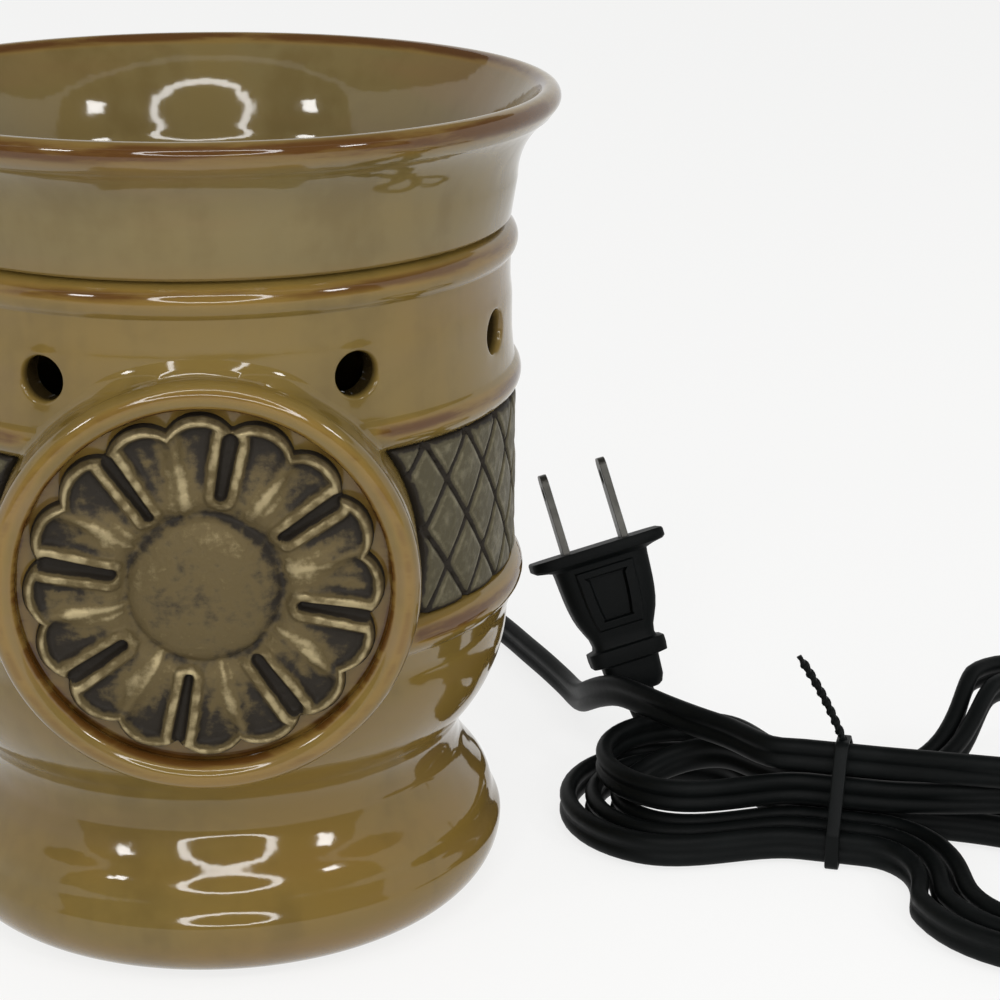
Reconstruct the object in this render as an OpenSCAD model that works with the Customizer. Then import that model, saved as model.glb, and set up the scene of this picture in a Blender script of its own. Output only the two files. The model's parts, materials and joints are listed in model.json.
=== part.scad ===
// Electric wax warmer: a loose glazed dish on a hollow ceramic body that holds a small globe lamp,
// with a flat mains cord, an in-line switch and a plug. Millimetres, +Z up, front towards -Y.

/* [Body] */
// Largest radius of the round foot
foot_r = 52.3; // [49:0.1:56]
// Radius of the foot's round edge
foot_round = 11; // [9:0.1:12]
// Height of the foot's widest point
foot_z = 11.5; // [10.5:0.1:12.5]
// Height of the ceramic above the table
foot_lift = 0.8; // [0.4:0.1:1.5]
// Radius at the waist
waist_r = 44.4; // [42.5:0.1:46]
// Height of the waist
waist_z = 29.3; // [28:0.1:30]
// Radius of the waist's hollow curve
waist_round = 10; // [8:0.1:12]
// Radius of the drum under the lower ridge
drum_r = 53.3; // [52:0.1:55]
// Height at which the drum's lower curve ends
drum_z = 54; // [52:0.1:55.5]
// Crest radius of the lower ridge
low_ridge_r = 56.1; // [55:0.1:58]
// Height of the lower ridge above the end of the drum's curve
low_ridge_up = 7; // [6:0.1:8]
// Crest radius of the upper ridge
top_ridge_r = 55.6; // [54.5:0.1:58]
// Distance between the two ridges
ridge_gap = 37; // [34:0.1:40]
// Radius of each ridge's rounding
ridge_round = 3.5; // [2.5:0.1:4.2]
// Radius of the neck above the upper ridge
neck_r = 53.9; // [53:0.1:55.5]
// Crest radius of the shoulder bead
shoulder_r = 54.9; // [54:0.1:57]
// Depth of the shoulder bead's middle below the seat
shoulder_drop = 3.5; // [3.2:0.1:4.5]
// Radius of the shoulder bead's rounding
shoulder_round = 3.2; // [2.5:0.1:3.6]
// Height of the seat that the dish stands on, above the upper ridge
neck_h = 27.5; // [25:0.1:31]
// Radius of the opening that the dish drops into
mouth_r = 46.8; // [44:0.1:48]
// Wall thickness of the band that carries the panels
band_wall = 2.6; // [2.2:0.1:3.2]
// Wall thickness at the waist
waist_wall = 4.4; // [3.6:0.1:5.5]
// Height of the opening's straight part
mouth_h = 7.5; // [6:0.1:9]
// Thickness of the floor under the lamp
floor_t = 4.5; // [4:0.1:6]
// Radius of each vent hole
vent_r = 3.7; // [2.5:0.1:4.5]
// Height of the vent holes above the upper ridge
vent_up = 10.7; // [9.5:0.1:12]

/* [Bosses] */
// Height of the two round bosses above the lower ridge
boss_up = 14.5; // [13:0.1:16]
// Root radius of a boss
boss_r = 35.2; // [34.6:0.1:36]
// Crest radius of the boss ring
ring_r = 32.6; // [31.5:0.1:33]
// Radius of the boss ring's rounding
ring_round = 2.4; // [1.8:0.1:2.6]
// Distance of the boss ring's crest from the middle
boss_front = 58.2; // [57:0.1:60]
// Depth of the boss recess below the ring's crest
recess_depth = 4.6; // [4:0.1:5.2]

/* [Medallions] */
// Radius of a rosette
rosette_r = 29.2; // [27:0.1:29.6]
// Thickness of a rosette's plate
rosette_t = 1.2; // [0.8:0.1:2]
// Height of the petals above the plate
petal_h = 2.8; // [1.5:0.1:3.5]
// Height of the middle dome above the plate
dome_h = 3.6; // [2:0.1:4.5]
// Angle of the first slot between petals
rosette_turn = 34; // [0:1:44]
// Outer radius of the quilted panels
panel_r = 54.7; // [54.2:0.1:55.5]
// Depth of the grooves between the diamonds
groove_d = 1.3; // [0.6:0.1:1.6]
// Width of a diamond
diamond_w = 11.4; // [8:0.1:16]
// Height of a diamond
diamond_h = 15.2; // [10:0.1:20]

/* [Dish] */
// Gap between the dish and its seat
seat_gap = 0.1; // [0.05:0.05:0.3]
// Depth of the step that drops into the body
dish_step = 5; // [3:0.1:7]
// Gap around that step
step_gap = 1; // [0.5:0.1:2]
// Radius of the dish's wall at its seat
dish_r = 53.7; // [52:0.1:55]
// Height of the dish above its seat
dish_h = 23.3; // [21:0.1:27]
// Outer radius of the rim
rim_r = 62.2; // [61:0.1:64]
// Radius of the rim's rounding
rim_round = 2.1; // [1.6:0.1:2.6]
// Radius of the flare under the rim
flare_round = 13.5; // [12:0.1:15]
// Wall thickness of the dish
dish_wall = 4.6; // [3.5:0.1:5.5]
// Floor thickness of the dish
dish_floor = 4.2; // [3:0.1:6]
// Radius of the curve between floor and wall
dish_corner = 9; // [5:0.1:14]
// Lean of the dish's inside wall
dish_lean = 20; // [10:1:26]

/* [Base] */
// Height of the rubber feet
rubber_h = 5; // [3.5:0.1:6]
// Radius of the rubber feet
rubber_r = 4.5; // [3.5:0.1:6]
// Distance of the rubber feet from the middle
rubber_at = 33; // [25:0.5:35]
// Radius of the base plate
plate_r = 41; // [39:0.1:41.6]
// Thickness of the base plate
plate_t = 1.2; // [0.8:0.1:1.6]
// Height of the wiring space above the plate
wiring_h = 9; // [8.8:0.1:10]
// Radius of the clamping stud
stud_r = 3; // [2:0.1:3.5]
// Width of the nuts across their flats
nut_flats = 10; // [9:0.1:11]
// Height of the jam nut under the plate
jam_h = 3; // [2:0.1:3.4]
// Height of the hex nut on the bracket
nut_h = 5; // [4:0.1:5.5]

/* [Lamp holder] */
// Thickness of the bracket strip
strap_t = 1.2; // [0.8:0.1:1.6]
// Width of the bracket strip
strap_w = 12; // [10:0.5:14]
// Space between the bracket's legs
strap_rise = 6.8; // [6.6:0.1:9]
// Reach of the bracket behind the middle
strap_back = 14; // [13:0.5:17]
// Radius of the socket cup
cup_r = 11; // [10.5:0.1:13]
// Height of the socket cup
cup_h = 28.8; // [27.5:0.1:30]
// Floor thickness of the socket cup
cup_floor = 4; // [3.5:0.1:5]
// Wall thickness of the screw shell
shell_t = 1.2; // [0.6:0.1:1.5]
// Height of the centre contact
contact_h = 3.2; // [2.4:0.1:3.6]
// Height of the terminal screws above the holder's foot
terminal_up = 9; // [8:0.1:10]
// Sideways offset of the two terminal screws
terminal_at = 3.2; // [2.9:0.1:3.6]
// Radius of a terminal screw's head
terminal_r = 2.4; // [1.8:0.1:2.6]
// Distance of the leads' upright part from the middle
lead_at = 20; // [18.5:0.1:21]
// Radius of one lead inside the body
lead_r = 1.3; // [0.8:0.05:1.5]

/* [Lamp] */
// Gap between the lamp's tip and the contact
tip_gap = 0.4; // [0.3:0.1:0.8]
// Length of the lamp from tip to top
lamp_len = 66; // [60:0.5:72]
// Radius of the globe
globe_r = 20; // [17:0.1:22]
// Thickness of the glass
glass_t = 0.7; // [0.5:0.1:1]
// Radius of the lamp's screw cap
cap_r = 5.9; // [5.5:0.1:6.2]
// Length of the lamp's screw cap
cap_len = 18; // [16:0.5:20]

/* [Cord] */
// Width of the flat cord
cord_w = 6.4; // [5.4:0.1:6.6]
// Thickness of the flat cord
cord_t = 3.3; // [2.6:0.1:3.4]
// Direction in which the cord leaves the body
exit_turn = 130; // [125:1:135]
// Radius of the strain relief's sleeve
sleeve_r = 4.1; // [3.9:0.1:4.2]
// Reach of the strain relief's tail from the middle
tail_reach = 76; // [74:0.5:78]
// Turn of the hank on the table
hank_turn = -18; // [-30:1:0]
// Pitch between cords side by side in the hank
side_pitch = 5; // [4.8:0.1:5.4]
// Gap between layers of the hank
layer_gap = 0.6; // [0.5:0.1:1]
// Bend radius of the hank's smallest loop
loop_r = 15; // [14:0.1:16]
// Thickness of the tie's band
tie_t = 0.6; // [0.4:0.1:0.8]
// Width of the tie's band
tie_w = 2.6; // [2:0.1:6]

/* [Plug] */
// Lean of the plug to the left
plug_side = 16; // [10:1:22]
// Lean of the plug to the back
plug_back = 18; // [12:1:24]
// Length of the plug body
plug_len = 31; // [29:0.1:34]
// Width of the plug's flange
plug_w = 28.5; // [26:0.1:30]
// Thickness of the plug's flange
plug_t = 14.5; // [13:0.1:16]
// Distance between the blades
blade_gap = 12.7; // [12.7:0.1:12.8]
// Length of a blade
blade_len = 17.5; // [16:0.1:18.5]
// Width of a blade
blade_w = 6.3; // [6:0.1:6.5]
// Thickness of a blade
blade_t = 1.5; // [1.4:0.1:1.7]

/* [Switch] */
// Length of the switch case
switch_len = 56; // [52:0.5:57]
// Width of the switch case
switch_w = 22; // [20:0.5:25]
// Height of the switch case's lower half
switch_low = 9; // [8.8:0.1:10]
// Height of the switch case's upper half
switch_top = 8; // [7.6:0.1:9]
// Wall thickness of the switch case
switch_wall = 2.2; // [1.8:0.1:2.6]
// Length of the rocker
rocker_len = 15; // [12:0.5:17]
// Width of the rocker
rocker_w = 9; // [7:0.1:9.4]
// Radius of the rocker's pivots
pivot_r = 1.2; // [0.8:0.1:1.4]
// Tilt of the rocker at rest
rocker_tilt = 9; // [6:0.5:10]

/* [Fits] */
// Gap between fixed pieces that fit together
fit = 0.1; // [0.05:0.05:0.2]
// Gap at the rocker's pivots
pivot_fit = 0.06; // [0.03:0.01:0.1]
// Gap around moving pieces
clear = 0.4; // [0.3:0.05:0.6]

/* [Hidden] */
$fn = 96;

glaze = [0.50, 0.42, 0.28];
bronze = [0.45, 0.36, 0.20];
steel = [0.70, 0.70, 0.72];
brass = [0.72, 0.58, 0.28];
black = [0.07, 0.07, 0.07];
white = [0.90, 0.88, 0.83];
clear_glass = [0.86, 0.90, 0.92];

// heights that follow one another
low_ridge_z = drum_z + low_ridge_up;
top_ridge_z = low_ridge_z + ridge_gap;
boss_z = low_ridge_z + boss_up;
vent_z = top_ridge_z + vent_up;
seat_z = top_ridge_z + neck_h;
shoulder_z = seat_z - shoulder_drop;
plate_z = rubber_h;
ledge_z = plate_z + plate_t;
under_z = ledge_z + wiring_h;
floor_z = under_z + floor_t;
exit_z = ledge_z + wiring_h / 2;
holder_z = floor_z + strap_t + strap_rise + strap_t;
contact_z = holder_z + cup_floor;
tip_z = contact_z + contact_h + tip_gap;
cap_z = tip_z + 2.7;
globe_z = tip_z + lamp_len - globe_r;
cup_top = holder_z + cup_h;
dish_z = seat_z + seat_gap;
dish_top = dish_z + dish_h;

// radii that follow one another
groove_r = panel_r - groove_d - 1.8;
chamber_r = groove_r - band_wall;
recess_at = boss_front - recess_depth;
recess_r = ring_r - 0.9 * ring_round;
shell_r = cap_r + 0.3 + shell_t;
bore_r = shell_r + fit;
under_r = plate_r - 3;

function arc(c, r, a0, a1, n = 10) =
    [for (i = [0:n]) let (a = a0 + (a1 - a0) * i / n) [c[0] + r * cos(a), c[1] + r * sin(a)]];
function clamp(x) = min(max(x, 0), 1);
function ease(x) = (1 - cos(180 * clamp(x))) / 2;
function turned(p, a) = [p[0] * cos(a) - p[1] * sin(a), p[0] * sin(a) + p[1] * cos(a)];

module on_front() translate([0, 0, boss_z]) rotate([90, 0, 0]) children();
module on_back() translate([0, 0, boss_z]) rotate([-90, 0, 0]) children();
module along_exit(z) translate([0, 0, z]) rotate([0, 0, exit_turn]) rotate([0, 90, 0]) children();

// ceramic body

function body_outline() =
    let (foot_c = [foot_r - foot_round, foot_z])
    let (foot_a = asin((foot_z - foot_lift) / foot_round))
    let (waist_c = [waist_r + waist_round, waist_z], apart = waist_c - foot_c)
    let (join = atan2(apart[1], apart[0]) - acos((foot_round + waist_round) / norm(apart)))
    let (in = waist_c[0] - drum_r, up = drum_z - waist_z)
    let (drum_round = (in * in + up * up - pow(waist_round, 2)) / 2 / (waist_round - in))
    let (lift = atan2(up, in + drum_round))
    concat([[under_r, foot_lift]],
        arc(foot_c, foot_round, -foot_a, join, 14),
        arc(waist_c, waist_round, join + 180, 180 - lift, 12),
        arc([drum_r - drum_round, drum_z], drum_round, -0.9 * lift, 0, 9),
        arc([low_ridge_r - ridge_round, low_ridge_z], ridge_round, -50, 50, 10),
        [[groove_r, low_ridge_z + ridge_round * sin(50) + 0.5]],
        [[groove_r, top_ridge_z - ridge_round * sin(50) - 0.5]],
        arc([top_ridge_r - ridge_round, top_ridge_z], ridge_round, -50, 50, 10),
        [[neck_r + 0.2, top_ridge_z + 5], [neck_r, top_ridge_z + 8], [neck_r, shoulder_z - 10]],
        [[neck_r - 0.3, shoulder_z - 7], [neck_r - 0.3, shoulder_z - 4.5]],
        arc([shoulder_r - shoulder_round, shoulder_z], shoulder_round, -50, 70, 10),
        [[shoulder_r - shoulder_round, seat_z], [0, seat_z], [0, foot_lift]]);

module boss() {
    translate([0, 0, 30]) cylinder(r = boss_r, h = boss_front - ring_round - 30);
    translate([0, 0, boss_front - ring_round]) rotate_extrude() translate([ring_r, 0]) circle(r = ring_round);
}

module body_chamber() rotate_extrude()
    polygon(let (low_r = waist_r - waist_wall, mid_r = chamber_r - 2.5)
        [[0, floor_z], [low_r, floor_z], [low_r, waist_z + 3.7], [mid_r, drum_z - 8], [chamber_r, drum_z + 2],
        [chamber_r, seat_z - mouth_h - 5], [mouth_r, seat_z - mouth_h], [mouth_r, seat_z + 1], [0, seat_z + 1]]);

module warmer_body() color(glaze) difference() {
    union() {
        rotate_extrude() polygon(body_outline());
        on_front() boss();
        on_back() boss();
    }
    on_front() translate([0, 0, recess_at]) cylinder(r = recess_r, h = 20);
    on_back() translate([0, 0, recess_at]) cylinder(r = recess_r, h = 20);
    body_chamber();
    translate([0, 0, -1]) cylinder(r = under_r, h = under_z + 1);
    translate([0, 0, -1]) cylinder(r = plate_r + 4 * fit, h = ledge_z + 1);
    translate([0, 0, under_z - 1]) cylinder(r = stud_r + 2 * fit, h = floor_t + 2);
    rotate([0, 0, exit_turn]) translate([lead_at, 0, under_z - 1])
        cylinder(r = terminal_at + lead_r + 7 * fit, h = floor_t + 2);
    along_exit(exit_z) translate([0, 0, 30]) cylinder(r = sleeve_r + fit, h = foot_r);
    along_exit(exit_z) translate([0, 0, foot_r - 1.7]) cylinder(r = sleeve_r + 2.1, h = 10);
    for (s = [-1, 1], a = [28, 67, 113, 152])
        rotate([0, 0, s * a]) translate([0, -40, vent_z]) rotate([90, 0, 0]) cylinder(r = vent_r, h = 30);
}

// cast medallions and quilted panels

petals = 8;
rosette_rings = [0.15, 0.28, 0.36, 0.4, 0.46, 0.58, 0.7, 0.82, 0.92, 0.97, 1];
petal_steps = 10;

// distance across a petal, 0 on its rib and 1 in the slot beside it
function across(i) = abs(i % petal_steps - petal_steps / 2) * 2 / petal_steps;
function petal_rise(f, e) =
    let (along = sqrt(max(0, sin(180 * (f - 0.38) / 0.62))))
    let (wide = e < 0.75 ? 0.7 + 0.3 * cos(480 * e) : e < 0.9 ? 0.8 : 0)
    petal_h * along * wide;
function rosette_rise(f, e) =
    f < 0.39 ? dome_h * sqrt(1 - pow(f / 0.4, 2)) : petal_rise(f, e);
function rosette_edge(e) = rosette_r * (1 - 0.07 * pow(e, 6));

module rosette() {
    n = petals * petal_steps;
    m = len(rosette_rings);
    tops = [for (f = rosette_rings, i = [0:n - 1])
        let (e = across(i), a = rosette_turn + i * 360 / n, r = f * rosette_edge(e))
        [r * cos(a), r * sin(a), rosette_t + rosette_rise(f, e)]];
    foot = [for (i = [0:n - 1])
        let (a = rosette_turn + i * 360 / n, r = rosette_edge(across(i))) [r * cos(a), r * sin(a), 0]];
    skin = [for (k = [0:m - 1], i = [0:n - 1])
        let (j = (i + 1) % n, a = k * n + i, b = k * n + j, c = a + n, d = b + n)
        each [[a, b, c], [b, d, c]]];
    middle = m * n + n;
    caps = [for (i = [0:n - 1]) let (j = (i + 1) % n)
        each [[middle, j, i], [middle + 1, m * n + i, m * n + j]]];
    polyhedron(concat(tops, foot, [[0, 0, rosette_t + dome_h], [0, 0, 0]]), concat(skin, caps));
}

module front_rosette() color(bronze) on_front() translate([0, 0, recess_at]) rosette();
module rear_rosette() color(bronze) on_back() translate([0, 0, recess_at]) rosette();

panel_low = low_ridge_z + ridge_round * sin(50) + 0.5 + 2 * fit;
panel_high = top_ridge_z - ridge_round * sin(50) - 0.5 - 2 * fit;
panel_rows = 12;
panel_cols = 44;

// angle from the front at which a panel ends, clear of the round boss
function panel_end(z, r) = asin(sqrt(pow(boss_r + 0.6, 2) - pow(z - boss_z, 2)) / r);
function quilt(a, z) =
    let (s = a * PI / 180 * panel_r / diamond_w, t = (z - (panel_low + panel_high) / 2) / diamond_h)
    let (pillow = abs(sin(180 * (s + t)) * sin(180 * (s - t))))
    panel_r - groove_d * (1 - pow(pillow, 0.4));

// points of a panel on its right-hand side, angles run from the front to the back
function panel_point(k, i, outer) =
    let (z = panel_low + (panel_high - panel_low) * k / panel_rows)
    let (back = groove_r + fit)
    let (a0 = panel_end(z, back), a = a0 + (180 - 2 * a0) * i / panel_cols)
    let (r = outer ? quilt(a - 90, z) : back)
    [r * sin(a), -r * cos(a), z];

module panel() {
    n = panel_cols + 1;
    m = panel_rows + 1;
    points = [for (o = [1, 0], k = [0:m - 1], i = [0:n - 1]) panel_point(k, i, o == 1)];
    half = n * m;
    faces = [for (k = [0:m - 2], i = [0:n - 2]) let (a = k * n + i, b = a + 1, c = a + n, d = c + 1)
        each [[a, c, b], [b, c, d], [half + a, half + b, half + c], [half + b, half + d, half + c]]];
    rows = [for (i = [0:n - 2]) let (t = (m - 1) * n + i)
        each [[i, i + 1, half + i], [i + 1, half + i + 1, half + i],
              [t, half + t, t + 1], [t + 1, half + t, half + t + 1]]];
    cols = [for (k = [0:m - 2]) let (a = k * n, c = a + n, b = a + n - 1, d = b + n)
        each [[a, half + a, c], [c, half + a, half + c], [b, d, half + b], [d, half + d, half + b]]];
    polyhedron(points, concat(faces, rows, cols));
}

module right_panel() color(bronze) panel();
module left_panel() color(bronze) rotate([0, 0, 180]) panel();

// dish

module warming_dish() color(glaze)
    rotate_extrude() polygon(
        let (step_r = mouth_r - step_gap, low = dish_z - dish_step)
        let (flare_c = [dish_r + 1.1 + flare_round, dish_z + 7.3])
        let (rim_c = [rim_r - rim_round, dish_top - rim_round])
        let (in_r = flare_round + dish_wall, c = cos(dish_lean), s = sin(dish_lean))
        let (floor_at = low + dish_floor)
        let (top = flare_c + in_r * [-c, s], run = (top[1] - floor_at - dish_corner * (1 - s)) / c)
        concat([[0, low], [step_r - 1, low], [step_r, low + 1], [step_r, dish_z]],
            [[dish_r - 0.6, dish_z], [dish_r, dish_z + 0.6]],
            arc(flare_c, flare_round, 180, 125, 12),
            arc(rim_c, rim_round, -40, 140, 12),
            arc(flare_c, in_r, 136, 180 - dish_lean, 12),
            arc(top - run * [s, c] + dish_corner * [-c, s], dish_corner, -dish_lean, -90, 10),
            [[0, floor_at]]));

// base

module base_plate() color(steel) difference() {
    translate([0, 0, plate_z]) cylinder(r = plate_r, h = plate_t);
    translate([0, 0, plate_z - 1]) cylinder(r = stud_r + fit, h = plate_t + 2);
}

module rubber_feet() color(black) for (a = [45:90:315])
    rotate([0, 0, a]) translate([rubber_at, 0, 0]) rotate_extrude()
        polygon([[0, 0], [rubber_r - 0.6, 0], [rubber_r, 0.6], [rubber_r, rubber_h], [0, rubber_h]]);

module clamp_stud() color(steel)
    translate([0, 0, plate_z - jam_h - 0.4]) cylinder(r = stud_r, h = stud_top - plate_z + jam_h + 0.4);

stud_top = floor_z + strap_t + nut_h + 0.6;

module hex_nut(z, h) translate([0, 0, z]) difference() {
    cylinder(d = nut_flats / cos(30), h = h, $fn = 6);
    translate([0, 0, -1]) cylinder(r = stud_r + 0.05, h = h + 2);
}

module stud_nuts() color(steel) {
    hex_nut(plate_z - jam_h, jam_h);
    hex_nut(floor_z + strap_t, nut_h);
}

// lamp holder

rivet_at = 6.2;
rivet_r = 1.6;

module socket_bracket() color(steel) difference() {
    union() {
        translate([-strap_back, -strap_w / 2, floor_z]) cube([strap_back + 8, strap_w, strap_t]);
        translate([-strap_back, -strap_w / 2, floor_z]) cube([strap_t, strap_w, holder_z - floor_z]);
        translate([-strap_back, -strap_w / 2, holder_z - strap_t]) cube([strap_back + 9, strap_w, strap_t]);
    }
    translate([0, 0, floor_z - 1]) cylinder(r = stud_r + fit, h = strap_t + 2);
    translate([rivet_at, 0, holder_z - strap_t - 1]) cylinder(r = rivet_r + fit, h = strap_t + 2);
}

module bracket_rivet() color(steel) translate([rivet_at, 0, holder_z - strap_t]) {
    cylinder(r = rivet_r, h = strap_t + cup_floor - 0.8);
    translate([0, 0, -0.8]) cylinder(r = 2 * rivet_r - 0.6, h = 0.8);
}

terminal_z = holder_z + terminal_up;
terminal_out = cup_r + 0.2;
shank_in = bore_r + 0.9;
terminal_t = 1.4;

module at_terminals() for (s = [-1, 1])
    translate([0, 0, terminal_z]) rotate([0, 0, exit_turn]) translate([0, s * terminal_at, 0])
        rotate([0, 90, 0]) children();

module socket_cup() color(white) difference() {
    translate([0, 0, holder_z]) cylinder(r = cup_r, h = cup_h);
    translate([0, 0, contact_z]) cylinder(r = bore_r, h = cup_h);
    translate([rivet_at, 0, holder_z - 1]) cylinder(r = rivet_r + fit, h = cup_floor + 0.4);
    at_terminals() translate([0, 0, shank_in - 4 * fit]) cylinder(r = terminal_r - 1 + fit, h = cup_r);
}

module screw_shell() color(brass) translate([0, 0, contact_z + 2]) difference() {
    cylinder(r = shell_r, h = cup_top - contact_z - 3);
    translate([0, 0, -1]) cylinder(r = shell_r - shell_t, h = cup_h);
}

module centre_contact() color(brass) translate([0, 0, contact_z]) {
    cylinder(r = cap_r - 0.9, h = 0.8);
    cylinder(r = 2, h = contact_h);
}

module terminal_screws() color(brass) at_terminals() {
    translate([0, 0, shank_in]) cylinder(r = terminal_r - 1, h = terminal_out - shank_in + 0.5);
    translate([0, 0, terminal_out]) cylinder(r = terminal_r, h = terminal_t);
}

lead_start = under_r - 2;

module lamp_leads() color(black) for (s = [-1, 1]) rotate([0, 0, exit_turn])
    translate([0, s * terminal_at, 0]) {
        translate([lead_at, 0, exit_z]) rotate([0, 90, 0]) cylinder(r = lead_r, h = lead_start - lead_at);
        translate([lead_at, 0, exit_z]) sphere(r = lead_r);
        translate([lead_at, 0, exit_z]) cylinder(r = lead_r, h = terminal_z - exit_z);
        translate([lead_at, 0, terminal_z]) sphere(r = lead_r);
        translate([terminal_out + terminal_t, 0, terminal_z]) rotate([0, 90, 0])
            cylinder(r = lead_r, h = lead_at - terminal_out - terminal_t);
    }

// lamp

glass_r = cap_r - 0.5;
neck_top = cap_z + cap_len + 0.1;

function globe_outline(t) =
    let (r = globe_r - t, low = -62)
    concat([[glass_r - t, cap_z + cap_len - 9], [glass_r - t, neck_top], [glass_r + 1.6 - t, neck_top + 2]],
        arc([0, globe_z], r, low, 90, 24));

module lamp_glass() color(clear_glass) rotate_extrude()
    polygon(concat(globe_outline(0), [[0, globe_z + globe_r - glass_t]],
        [for (i = [len(globe_outline(0)) - 2:-1:0]) globe_outline(glass_t)[i]]));

module lamp_cap() color(brass) translate([0, 0, cap_z]) difference() {
    cylinder(r = cap_r, h = cap_len);
    translate([0, 0, 0.8]) cylinder(r = glass_r + fit, h = cap_len);
}

module lamp_insulator() color(black) translate([0, 0, tip_z + 1.2]) cylinder(r = cap_r - 1.5, h = cap_z - tip_z - 1.2);

module lamp_tip() color(steel) translate([0, 0, tip_z]) cylinder(r = 2.2, h = 1.2);

stem_top = globe_z - globe_r + 5;

module lamp_stem() color(clear_glass) translate([0, 0, cap_z + 0.8])
    cylinder(r = 2.2, h = stem_top - cap_z - 0.8);

module lamp_filament() color(steel) {
    for (s = [-1, 1]) translate([s * 1.3, 0, stem_top]) cylinder(r = 0.4, h = globe_z - stem_top);
    translate([-8, 0, globe_z]) rotate([0, 90, 0]) cylinder(r = 0.45, h = 16);
}

// cord leaving the body

module strain_relief() color(black) along_exit(exit_z) rotate_extrude()
    polygon(let (seat = foot_r - 1.7 + fit)
        [[0, lead_start], [sleeve_r, lead_start], [sleeve_r, seat], [sleeve_r + 1.7, seat],
        [sleeve_r + 1.7, seat + 2], [sleeve_r + 0.2, seat + 2.7], [cord_w / 2 + 0.7, tail_reach],
        [0, tail_reach]]);

flat_6 = [[cord_t / 2, 0.32 * cord_w], [0, cord_w / 2], [-cord_t / 2, 0.32 * cord_w],
    [-cord_t / 2, -0.32 * cord_w], [0, -cord_w / 2], [cord_t / 2, -0.32 * cord_w]];
flat_8 = [[cord_t / 2, 0.34 * cord_w], [0.28 * cord_t, cord_w / 2],
    [-0.28 * cord_t, cord_w / 2], [-cord_t / 2, 0.34 * cord_w],
    [-cord_t / 2, -0.34 * cord_w], [-0.28 * cord_t, -cord_w / 2],
    [0.28 * cord_t, -cord_w / 2], [cord_t / 2, -0.34 * cord_w]];

function unit(v) = v / norm(v);
function heading(p, i) = unit(p[min(i + 1, len(p) - 1)] - p[max(i - 1, 0)]);
function section(c, t, v, outline) =
    let (n = unit(v - (v * t) * t), w = cross(t, n)) [for (o = outline) c + o[0] * n + o[1] * w];

// a flat cord along a list of points: on edge, unless the direction of its edge is given for each point,
// or that of its flat side at both ends
module flat_cord(path, outline, v0 = undef, v1 = undef, edge = undef) {
    m = len(outline);
    n = len(path);
    points = [for (i = [0:n - 1])
        let (t = heading(path, i), e = is_undef(edge) ? [0, 0, 1] : edge[i])
        let (v = is_undef(v0) ? cross(e, t) : v0 + (v1 - v0) * i / (n - 1))
        each section(path[i], t, v, outline)];
    sides = [for (i = [0:n - 2], j = [0:m - 1])
        let (a = i * m + j, b = i * m + (j + 1) % m, c = a + m, d = b + m) each [[a, c, b], [b, c, d]]];
    caps = [for (j = [1:m - 2]) let (e = (n - 1) * m) each [[0, j, j + 1], [e, e + j + 1, e + j]]];
    polyhedron(points, concat(sides, caps));
}

exit_end = [tail_reach * cos(exit_turn), tail_reach * sin(exit_turn), exit_z];
exit_way = [cos(exit_turn), sin(exit_turn), 0];
switch_mid = [2, 130, 0];
nose_len = 4;
nose_z = 5;
switch_in = switch_mid + [-switch_len / 2 - nose_len, 0, nose_z];
switch_out = switch_mid + [switch_len / 2 + nose_len, 0, nose_z];

to_switch = [[-57, 70, 9.5], [-61.5, 78.5, 8], [-64, 88, 6.5], [-64, 98, 5.5], [-61.5, 108, 5],
    [-56, 117, 4.8], [-47.5, 125, 5]];
to_hank = [[48, 128, 4.6], [54.5, 123, 4.2], [59, 116, 4], [62.5, 107, 4], [66, 96.5, 4], [69.5, 86, 4],
    [72.5, 76, 4], [74, 67, 5], [74.5, 58.5, 7.8], [75, 50.5, 11.5], [76.6, 43, 15.3], [79.4, 36.5, 18],
    [83.2, 30.2, 18.7], [87.6, 24.2, 18.7], [92.6, 18.4, 18.6], [98.2, 12.8, 18.4]];

module cord_to_switch() color(black)
    flat_cord(concat([exit_end, exit_end + cord_w * exit_way], to_switch,
        [switch_in - [cord_w, 0, 0], switch_in]), flat_8);
module cord_to_hank() color(black)
    flat_cord(concat([switch_out, switch_out + [cord_w, 0, 0]], to_hank,
        [hank_end - cord_w * hank_way, hank_end]), flat_8);

// hank: nested figure-of-eight loops in two layers, tied at the waist

hank_mid = [119, 2];
hank_z = cord_w / 2 + tie_t + 0.3;
hank_way = [cos(hank_turn), sin(hank_turn), 0];
waist_len = 6;
left_reach = 31;
left_bend = -12;
right_reach = [50, 48];
right_bend = [-60, 60];
// the upper right lobes roll and lift off the table
right_roll = [0, 18];
right_lift = [0, 7];
run_steps = 9;
arc_steps = 12;

function column(j) = (j + 0.5) * side_pitch;
function loop(j) = loop_r + j * side_pitch;
function level(k) = hank_z + (k - 1) * (cord_w + layer_gap);

// middle line of a lobe: straight at the waist, then a steady bend
function lobe_line(u, bend, reach) =
    let (u1 = waist_len + 0.95 * (reach - waist_len), k = bend / (u1 - waist_len), q = 180 / PI / k)
    let (h = k * min(max(u - waist_len, 0), u1 - waist_len), rest = max(u - u1, 0))
    [min(u, waist_len) + q * sin(h) + rest * cos(h), q * (1 - cos(h)) + rest * sin(h), h];

// a point beside a lobe's middle line, v along the lobe's plane and z off it, and the direction off that plane,
// which is rolled and lifted by the share f
function lobe_point(p, v, z0, z, f, roll, lift) =
    let (a = roll * f, h = p[2], off = [sin(h) * sin(a), -cos(h) * sin(a), cos(a)])
    let (side = [-sin(h) * cos(a), cos(h) * cos(a), sin(a)])
    concat([p[0], p[1], z0 + lift * f] + v * side + (z - z0) * off, off);

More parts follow.
